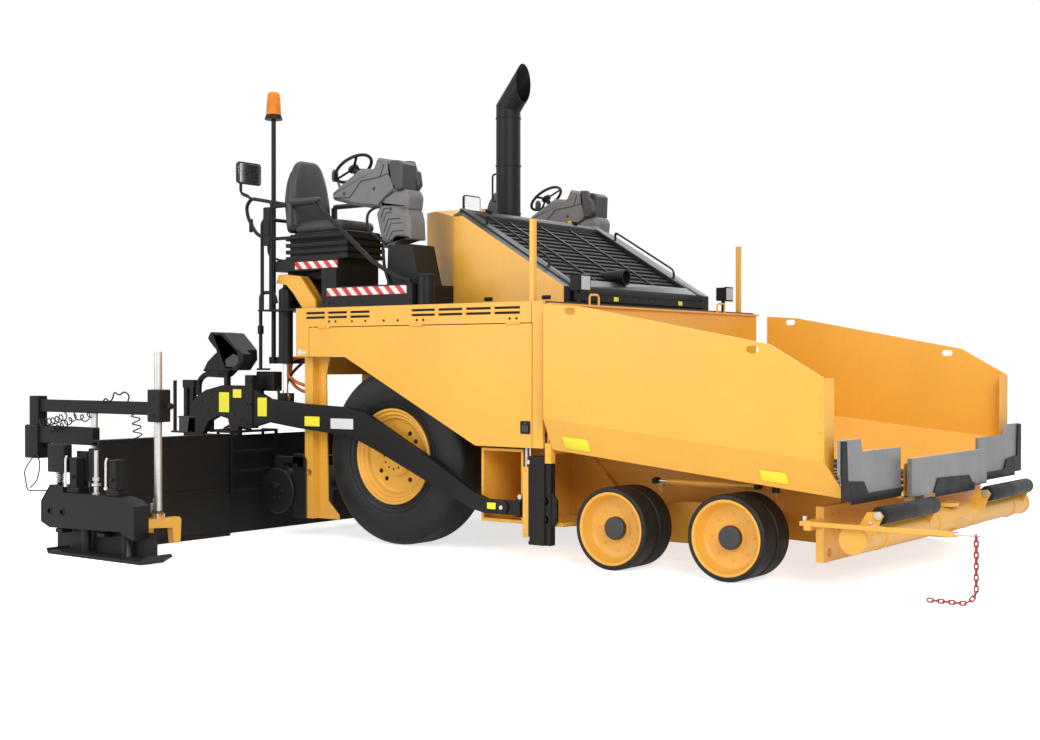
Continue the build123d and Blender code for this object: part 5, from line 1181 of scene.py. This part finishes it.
def gate_trim():
    """Rim, rings and covers of the end gate, the collars of its jacks, and the cable at the rear."""
    rim = tube([(-1885, -3214, 230), (-1885, -3214, 362), (-1780, -3214, 486), (-1632, -3214, 486)], 4, 20, 8)
    parts = [rim]
    for x in (-1788, -1638):
        parts.append(lathe(((3215, 20), (3215, 31), (3220, 29), (3220, 20)), (x, 0, 300), segments=28))
    for x in (-1540, -1087):
        parts.append(box((x - 44, x + 44), (-3196, -3110), (684, 702), 10, 4))
        parts.append(box((x - 48, x + 48), (-3200, -3106), (486, 500), 4, 3))
        parts.append(bolt((x, -3198, 560), 1, 12, 7))
        parts.append(box((x - 62, x + 62), (-3200, -3106), (444, 470), 6, 4))
    parts.append(box((-1604, -1484), (-3114, -3086), (524, 746), 8, 5))
    parts.append(box((-1438, -1356), (-3134, -3086), (530, 770), 8, 5))
    parts.append(box((-1860, -1660), (-3184, -3106), (586, 792), 12, 7))
    parts.append(tube([(-2400, -2900, 700), (-2420, -3000, 560), (-2200, -3120, 420), (-1900, -3150, 440),
                       (-1870, -3150, 486)], 5, 60, 8))
    parts += [box((x - 40, x + 40), (-3205, -3115), (145, 175), 3, 3) for x in (-1690, -1200)]
    parts += [bolt((x, -3240, 26), 2, 9, 5, sign=1.0) for x in (-1600, -1200, -800)]
    return joined(*parts)


def gate_bright():
    """Central screw with its collars and nut, the spring, and the clip and foot of the pole."""
    screw = lathe(((430, 0.01), (430, 30), (452, 30), (456, 18), (500, 18), (504, 34), (522, 34), (526, 16),
                   (760, 16), (760, 0.01)), (-1320, -3150, 0), 2, 30, 0, sign=1.0)
    nut = lathe(((540, 17), (540, 26), (566, 26), (566, 17)), (-1320, -3150, 0), 2, 6, 0, sign=1.0)
    coil = helix((-1760, -3145, 500), 28, 4, 14, 6)
    clip = joined(box((-1062, -1040), (-2880, -2820), (300, 372), 3, 2),
                  rod((-1048, -2850, 360), (-1048, -2850, 404), 9, 12))
    foot = box((-1034, -966), (-2890, -2814), (262, 300), 6, 4)
    return joined(screw, nut, coil, clip, foot)


def cranks():
    """White crank rods of the two jacks."""
    rods = [tube([(x, -3204, 500), (x, -3204, 690), (x + 16, -3206, 712)], 8, 20, 12) for x in (-1609, -1141)]
    ends = [lathe(((486, 0.01), (486, 13), (508, 13), (508, 0.01)), (x, -3204, 0), 2, 16, 3, sign=1.0)
            for x in (-1609, -1141)]
    return joined(*rods, *ends)


def sensor_trim():
    """Clamp with its bolts, the knob, the head with its bracket, and the tray."""
    clamp = joined(box((-1056, -924), (-2906, -2798), (964, 1200), 8, 6),
                   bolts([(-990, -2907, z) for z in (1020, 1140)], 1, 12, 8))
    knob = joined(rod((-930, -2852, 1080), (-880, -2852, 1080), 10, 14),
                  lathe(((880, 0.01), (880, 20), (862, 26), (850, 20), (850, 0.01)), (0, -2852, 1080),
                        0, 20, 3, sign=-1.0))
    head = joined(box((-2535, -2367), (-2918, -2786), (648, 909), 10, 8),
                  box((-2503, -2390), (-2896, -2808), (902, 1135), 6, 5),
                  lathe(((2786, 0.01), (2786, 34), (2770, 34), (2770, 0.01)), (-2450, 0, 780), 1, 24, 3))
    tray = box((-2370, -1700), (-2900, -2830), (770, 905), 10, 6)
    return joined(clamp, knob, head, tray)


def hoses():
    """Orange hoses behind the tow arm, at the screed and at the gate, and two black ones."""
    orange = [tube([(-900, y, 1190 - d), (-1105, y, 1240 - d), (-1190, y - 6, 1310 - d),
                    (-1180, y - 6, 1395), (-1100, y, 1436), (-940, y, 1450)], 14, 60, 14, 8)
              for y, d in ((-1380, 0), (-1345, 60))]
    low = tube([(-1700, -1380, 905), (-1850, -1370, 880), (-1960, -1370, 840)], 12, 60)
    gate = tube([(-1690, -2980, 560), (-1700, -3040, 640), (-1660, -3060, 690)], 12, 40)
    black = tube([(-1284, -1400, 1190), (-1250, -1398, 1070), (-1160, -1380, 1300),
                  (-980, -1380, 1420)], 12, 90)
    feed = tube([(-1560, -1440, 840), (-1700, -1420, 860), (-1900, -1400, 830), (-2100, -1400, 815)], 12, 60)
    return joined(*orange), low, gate, black, feed


def rear_hoops():
    """Curved rail behind the station, the low hoop under it, and the mirror's frame with its second arm."""
    rail = tube([(-1130, RAIL_Y, 2672), (-1540, RAIL_Y, 2748), (-1600, RAIL_Y, 2690), (-1584, RAIL_Y, 2600),
                 (-1485, RAIL_Y, 2455), (-1330, RAIL_Y, 2390)], 15, 60, 12)
    hoop = tube([(-1430, RAIL_Y, 1345), (-1430, RAIL_Y, 1946), (-1383, RAIL_Y, 1971), (-1271, RAIL_Y, 1961),
                 (-1243, RAIL_Y, 1880)], 15, 40, 12)
    lug = box((-1448, -1412), (-1470, -1430), (1630, 1700), 6, 4)
    foot = box((-1462, -1329), (-1468, -1436), (1334, 1350), 4, 3)
    frame_path = rounded([(-1552, -1588, 2868), (-1552, -1342, 2868), (-1552, -1342, 3036),
                          (-1552, -1588, 3036)], 24, 5)
    rim = swept(frame_path, circle(8, 10), closed=True)
    arm = tube([(-1552, -1560, 2868), (-1552, -1560, 2790), (-1552, -1470, 2770), (-1552, -1452, 2740)],
               9, 30, 10)
    clamp = box((-1560, -1528), (-1462, -1438), (2470, 2580), 8, 6)
    return joined(rail, hoop, lug, foot, rim, arm, clamp)


def wing_lip():
    """Flange turned inwards round the wing's front edge, with a rolled outer corner."""
    outline = [(-1656, 1300), (-1656, 830), (-1560, 640), (-1500, 640), (-1500, 1300)]
    plate = slab(outline, 0, 3643, 3656, 4, 10)
    roll = tube([(3652, -1650, 1296), (3652, -1650, 832), (3652, -1556, 644)], 9, 30, 10)
    return joined(plate, roll)


def front_sill():
    """Plate between the hopper floor's end and the middle apron."""
    return slab([(-600, 470), (600, 470), (600, 740), (-600, 740)], 0, 3728, 3736, 2, 10)


def tow_slide():
    """Upright slide with its strip, two bright rods, the lobed bracket and the block of the arm's pin."""
    rail = joined(box((1382, 1520), (DOOR_FACE, -1480), (124, 744), 6, 5),
                  box((1490, 1562), (-1540, -1480), (124, 692), 6, 5))
    dots = bolts([(x, DOOR_FACE, z) for x in (1400, 1494) for z in (160, 300, 440, 580, 706)], 1, 5, 3)
    bracket = slab([(1480, 238), (1552, 238), (1606, 290), (1606, 442), (1556, 500), (1480, 500)],
                   1, -1530, -1500, 5, 14)
    ends = bolts([(1596, -1531, z) for z in (310, 420)], 1, 7, 6)
    block = box((1226, 1384), (-1494, -1466), (302, 436), 10, 6)
    seat = box((1330, 1400), (-1500, -880), (858, 890), 6, 5)
    collar = lathe(((1546, 0.01), (1546, 46), (1552, 50), (1562, 50), (1566, 40), (1566, 0.01)), TOW_PIN,
                   segments=40, corner=2)
    black = joined(rail, dots, bracket, ends, block, seat, collar)
    strip = joined(box((1326, 1384), (-1548, -1482), (170, 666), 4, 3),
                   bolts([(1350, -1549, z) for z in (196, 640)], 1, 6, 4))
    rings = [lathe(((1530, 14), (1530, 30), (1540, 28), (1540, 14)), (1517, 0, z), segments=36)
             for z in (306, 434)]
    rods = [rod((1336, -1512, 664), (1336, -1512, 862), 11, 18),
            rod((1368, -1512, 664), (1368, -1512, 862), 8, 18),
            box((1376, 1398), (-1566, -1540), (686, 716), 5, 4),
            box((1376, 1398), (-1566, -1540), (150, 180), 5, 4)]
    pin = lathe(((1566, 0.01), (1566, 17), (1574, 15), (1574, 0.01)), TOW_PIN, segments=28, corner=2)
    discs = [lathe(((1493, 0.01), (1493, 20), (1499, 18), (1499, 0.01)), (x, 0, z), segments=24)
             for x, z in ((1262, 446), (1330, 366))]
    return black, strip, joined(*rings, *rods, pin, *discs)


def coiled(start, end, radius, turns, sag=0.0):
    """A springy cable: loops of one radius round an axis from start to end that sags by sin pi t."""
    start, end = np.array(start, float), np.array(end, float)
    t = np.linspace(0.0, 1.0, int(turns * 12) + 1)
    forward = (end - start) / np.linalg.norm(end - start)
    first = np.cross(forward, (0.0, 1.0, 0.0))
    first /= np.linalg.norm(first)
    second = np.cross(forward, first)
    angle = t * turns * 2 * math.pi
    loops = np.cos(angle)[:, None] * first + np.sin(angle)[:, None] * second
    path = start + t[:, None] * (end - start) + radius * loops
    path[:, 2] -= sag * np.sin(math.pi * t)
    return swept(path, circle(5, 6))


def sensor_cables():
    """Coiled cables over and under the sensor arm, the loops on top, and the thin lead to the head."""
    loops = tube([(-1590, -2890, 1090), (-1555, -2895, 1135), (-1500, -2895, 1100), (-1462, -2895, 1130),
                  (-1450, -2895, 1180), (-1385, -2895, 1150), (-1330, -2895, 1185), (-1268, -2895, 1150),
                  (-1290, -2895, 1108)], 6, 34, 8)
    coils = [coiled((-1199, -2900, 1027), (-1188, -2880, 830), 30, 3.5),
             coiled((-2340, -2900, 930), (-2030, -2905, 985), 26, 6, 14),
             coiled((-2200, -2925, 880), (-1880, -2925, 985), 22, 6, 22),
             coiled((-1900, -2905, 1000), (-1700, -2905, 1010), 26, 2.5, 30)]
    lead = tube([(-2390, -2918, 700), (-2320, -2930, 640), (-2306, -2940, 560), (-2270, -2990, 480),
                 (-2220, -3080, 440)], 5, 50, 8)
    return joined(loops, *coils, lead)


def yoke_trim():
    """End disc of the auger with its knob and bolts, and the cover beside the arm's post."""
    disc = lathe(((1452, 0.01), (1452, 120), (1470, 168), (1490, 186), (1500, 176), (1504, 60),
                  (1504, 0.01)), AUGER_END, segments=56, corner=5)
    cover = slab([(-1036, 158), (-1040, 640), (-1010, 668), (-930, 668), (-895, 620), (-895, 152)],
                 1, -1470, -1452, 4, 12)
    knob = lathe(((1504, 0.01), (1504, 34), (1530, 34), (1534, 26), (1534, 0.01)), (-1190, 0, 400),
                 segments=24)
    heads = bolts([(AUGER_END[0] + across, -1505, AUGER_END[2] + up) for across, up in ring_of(6, 60)],
                  1, 9, 6)
    return joined(disc, cover, knob, heads)


def pole_foot():
    """Second leg and the bridge of the yellow foot that holds the sensor's pole."""
    return joined(box((-1172, -1086), (-2884, -2820), (106, 262), 8, 5),
                  box((-1160, -1040), (-2884, -2820), (196, 262), 8, 5))


def steering_barrel():
    """Steering cylinder over the front wheels: barrel, bright rod and the two black eyes."""
    barrel = joined(rod((2316, STEER_Y, STEER_Z), (2986, STEER_Y, STEER_Z), 18, 24),
                    lathe(((2316, 0.01), (2316, 21), (2338, 21), (2338, 0.01)), (0, STEER_Y, STEER_Z),
                          0, 24, 2, sign=1.0))
    bright = rod((2241, STEER_Y, STEER_Z), (2316, STEER_Y, STEER_Z), 10, 18)
    eyes = joined(*[joined(lathe(((-26, 0.01), (-26, 22), (26, 22), (26, 0.01)), (x, STEER_Y, STEER_Z),
                                 1, 24, 3, sign=1.0),
                           box((x - 16, x + 16), (STEER_Y - 32, STEER_Y - 26),
                               (STEER_Z - 19, STEER_Z + 19), 8, 2))
                    for x in (2226, 3000)])
    return barrel, bright, eyes


def put_details():
    """Trim of the hopper, doors and extensions on both sides, then of the chassis and the screed."""
    wing_rubber, middle_rubber = apron_rubber()
    for side, turn in SIDES:
        mesh_piece(f"auger_screw_{side}", turn(auger_screw()), DARK_STEEL, f"auger_{side}",
                   [f"auger_{side}"])
        mesh_piece(f"roller_skin_{side}", turn(push_rollers()), RUBBER, f"push_roller_{side}",
                   [f"push_roller_{side}"])
        mesh_piece(f"apron_rubber_{side}", turn(wing_rubber), RUBBER, f"hopper_wing_{side}")
        plates, heads = wing_trim()
        mesh_piece(f"wing_plates_{side}", turn(plates), LABEL, f"hopper_wing_{side}")
        mesh_piece(f"wing_heads_{side}", turn(heads), YELLOW, f"hopper_wing_{side}")
        mesh_piece(f"wing_lip_{side}", turn(wing_lip()), YELLOW, f"hopper_wing_{side}")
        recess, paddle = door_trim()
        mesh_piece(f"latch_recess_{side}", turn(recess), BLACK, f"side_door_{side}")
        mesh_piece(f"latch_paddle_{side}", turn(paddle), DARK_STEEL, f"side_door_{side}")
        for name, shell, made, slot in (("extension_trim", extension_trim(), BLACK, "black"),
                                        ("gate_trim", gate_trim(), BLACK, "black"),
                                        ("gate_bright", gate_bright(), BRIGHT, "steel"),
                                        ("gate_cranks", cranks(), WHITE, "steel"),
                                        ("sensor_trim", sensor_trim(), BLACK, "black"),
                                        ("sensor_cables", sensor_cables(), RUBBER, "rubber"),
                                        ("pole_feet", pole_foot(), YELLOW, "yellow")):
            mesh_piece(f"{name}_{side}", turn(shell), made, f"screed_extension_{side}")
    mesh_piece("chain_links", chain_links(), RED, "chassis", ["guide_chain"])
    mesh_piece("mid_apron_rubber", middle_rubber, RUBBER, "chassis")
    trim, pins = beam_trim()
    mesh_piece("beam_trim", both(trim), YELLOW, "push_beam")
    mesh_piece("beam_pins", both(pins), BRIGHT, "push_beam")
    rows, eye = nose_trim()
    mesh_piece("nose_heads", both(rows), YELLOW, "chassis")
    mesh_piece("guide_eye", eye, BRIGHT, "chassis")
    seams, leg, plates = side_trim()
    # The seams piece also holds the black strip of painted shade in the band's recess.
    mesh_piece("side_seams", both(seams), BLACK, "chassis")
    mesh_piece("side_legs", both(leg), YELLOW, "chassis")
    mesh_piece("side_plates", both(plates), WHITE, "chassis")
    black, strip, bright = tow_slide()
    mesh_piece("tow_slides", both(black), BLACK, "chassis", ["tow_points"])
    mesh_piece("tow_strips", both(strip), YELLOW, "chassis")
    mesh_piece("tow_bright", both(bright), BRIGHT, "chassis")
    mesh_piece("front_sill", front_sill(), YELLOW, "chassis")
    mesh_piece("yoke_trim", both(yoke_trim()), BLACK, "chassis")
    barrel, ends, eyes = steering_barrel()
    mesh_piece("steering_barrels", both(barrel), YELLOW, "chassis")
    mesh_piece("steering_rods", both(ends), CHROME, "chassis")
    mesh_piece("steering_eyes", both(eyes), BLACK, "chassis")
    yellow, white = arm_labels()
    mesh_piece("arm_plates", both(yellow), LABEL, "screed")
    mesh_piece("arm_white_plates", both(white), WHITE, "screed")
    mesh_piece("arm_heads", both(arm_trim()), BLACK, "screed")
    body, face = screed_trim()
    mesh_piece("screed_trim", body, BLACK, "screed")
    mesh_piece("pod_faces", face, DARK_GREY, "screed")
    mesh_piece("tread_boxes", both(tread_box()), DECK, "screed")
    mesh_piece("walkway_trim", walkway_trim(), BLACK, "screed")
    orange, low, gate, black, feed = hoses()
    mesh_piece("orange_hoses", both(orange), ORANGE, "chassis")
    mesh_piece("screed_hoses", both(low), ORANGE, "screed")
    mesh_piece("gate_hose_right", gate, ORANGE, "screed_extension_right")
    mesh_piece("gate_hose_left", flipped(gate), ORANGE, "screed_extension_left")
    mesh_piece("black_hoses", both(black), RUBBER, "chassis")
    mesh_piece("screed_leads", both(feed), RUBBER, "screed")


def put_patches():
    """Second materials on the CAD pieces."""
    def about(x, y, reach, a, b):
        return math.hypot(x - a, abs(y) - b) < reach

    def on_poles(x, y, z, n):
        tall = about(x, y, 30.5, -1000, 2852) and z > 262
        return tall or (about(x, y, 25.5, -1738, 2852) and z > 540)

    def on_columns(x, y, z, n):
        return z < 78 and (about(x, y, 34, -1420, 3160) or about(x, y, 34, -967, 3160))

    for node in pair("end_gate"):
        patch(node, BRIGHT, on_poles)
        patch(node, YELLOW, lambda x, y, z, n: abs(y) < 3070 and z < 285 and x > -1150)
        patch(node, GREY, on_columns)
    for node in pair("tie_rod"):
        patch(node, YELLOW, lambda x, y, z, n: 2180 < x < 2800 and z < 600)
    # The floors of the slots in the deck sides, 14 mm in from the face, are painted black: painted shade in
    # the slots.
    patch("deck_sides", BLACK, lambda x, y, z, n: abs(n.y) > 0.9 and 1540 < abs(y) < 1546 and 1738 < z < 1794)
    patch("main_frame", BRIGHT, lambda x, y, z, n: x > 4421 and abs(y + 1560) < 13)
    patch("screed_frame", DECK, lambda x, y, z, n: n.z > 0.9 and x < -2255 and 320 < z < 335)


def put_beacon():
    lens, base = beacon()
    mesh_piece("beacon_dome", lens, AMBER, "chassis", ["beacon_lens"])
    mesh_piece("beacon_base", base, BLACK, "chassis")


put_wheels()
put_hood()
put_stations()
put_details()
put_patches()
put_beacon()


# Floor, backdrop and lights

def stage():
    """A pale floor, soft lights, and a world that is white where it is seen and grey as a light."""
    mesh = bpy.data.meshes.new("floor")
    mesh.from_pydata([(-60, -60, 0), (60, -60, 0), (60, 60, 0), (-60, 60, 0)], [], [(0, 1, 2, 3)])
    floor = bpy.data.objects.new("floor", mesh)
    bpy.context.scene.collection.objects.link(floor)
    made, w, shader = material("floor", Roughness=0.9, Specular_IOR_Level=0.0,
                               Base_Color=(0.86, 0.86, 0.86, 1.0), Emission_Color=(1.0, 1.0, 1.0, 1.0))[:3]
    glow = w.ramp(w.add("LightPath").outputs["Is Camera Ray"], 0.0, 1.0, 0.16, 0.7)
    w.tree.links.new(glow, shader.inputs["Emission Strength"])
    mesh.materials.append(made)
    world = bpy.data.worlds.new("world")
    bpy.context.scene.world = world
    world.use_nodes = True
    w = Wires(world.node_tree)
    back = world.node_tree.nodes["Background"]
    path = w.add("LightPath").outputs
    seen = w.math("MAXIMUM", w.math("MAXIMUM", path["Is Camera Ray"], path["Is Glossy Ray"]),
                  path["Is Transmission Ray"])
    world.node_tree.links.new(w.mix(seen, (0.45, 0.45, 0.46, 1.0), (1.0, 1.0, 1.0, 1.0)),
                              back.inputs["Color"])
    for name, spot, size, power in (("key", (10.0, -9.0, 7.0), 6.0, 1000.0),
                                    ("side", (-5.0, -11.0, 5.0), 6.0, 420.0),
                                    ("far", (-3.0, 10.0, 8.0), 6.0, 420.0),
                                    ("top", (0.0, 0.0, 11.0), 8.0, 520.0)):
        light = bpy.data.objects.new(name, bpy.data.lights.new(name, "AREA"))
        light.data.size = size
        light.data.energy = power
        light.location = spot
        light.rotation_euler = (Vector((0, 0, 1.2)) - Vector(spot)).to_track_quat("-Z", "Y").to_euler()
        bpy.context.scene.collection.objects.link(light)


stage()
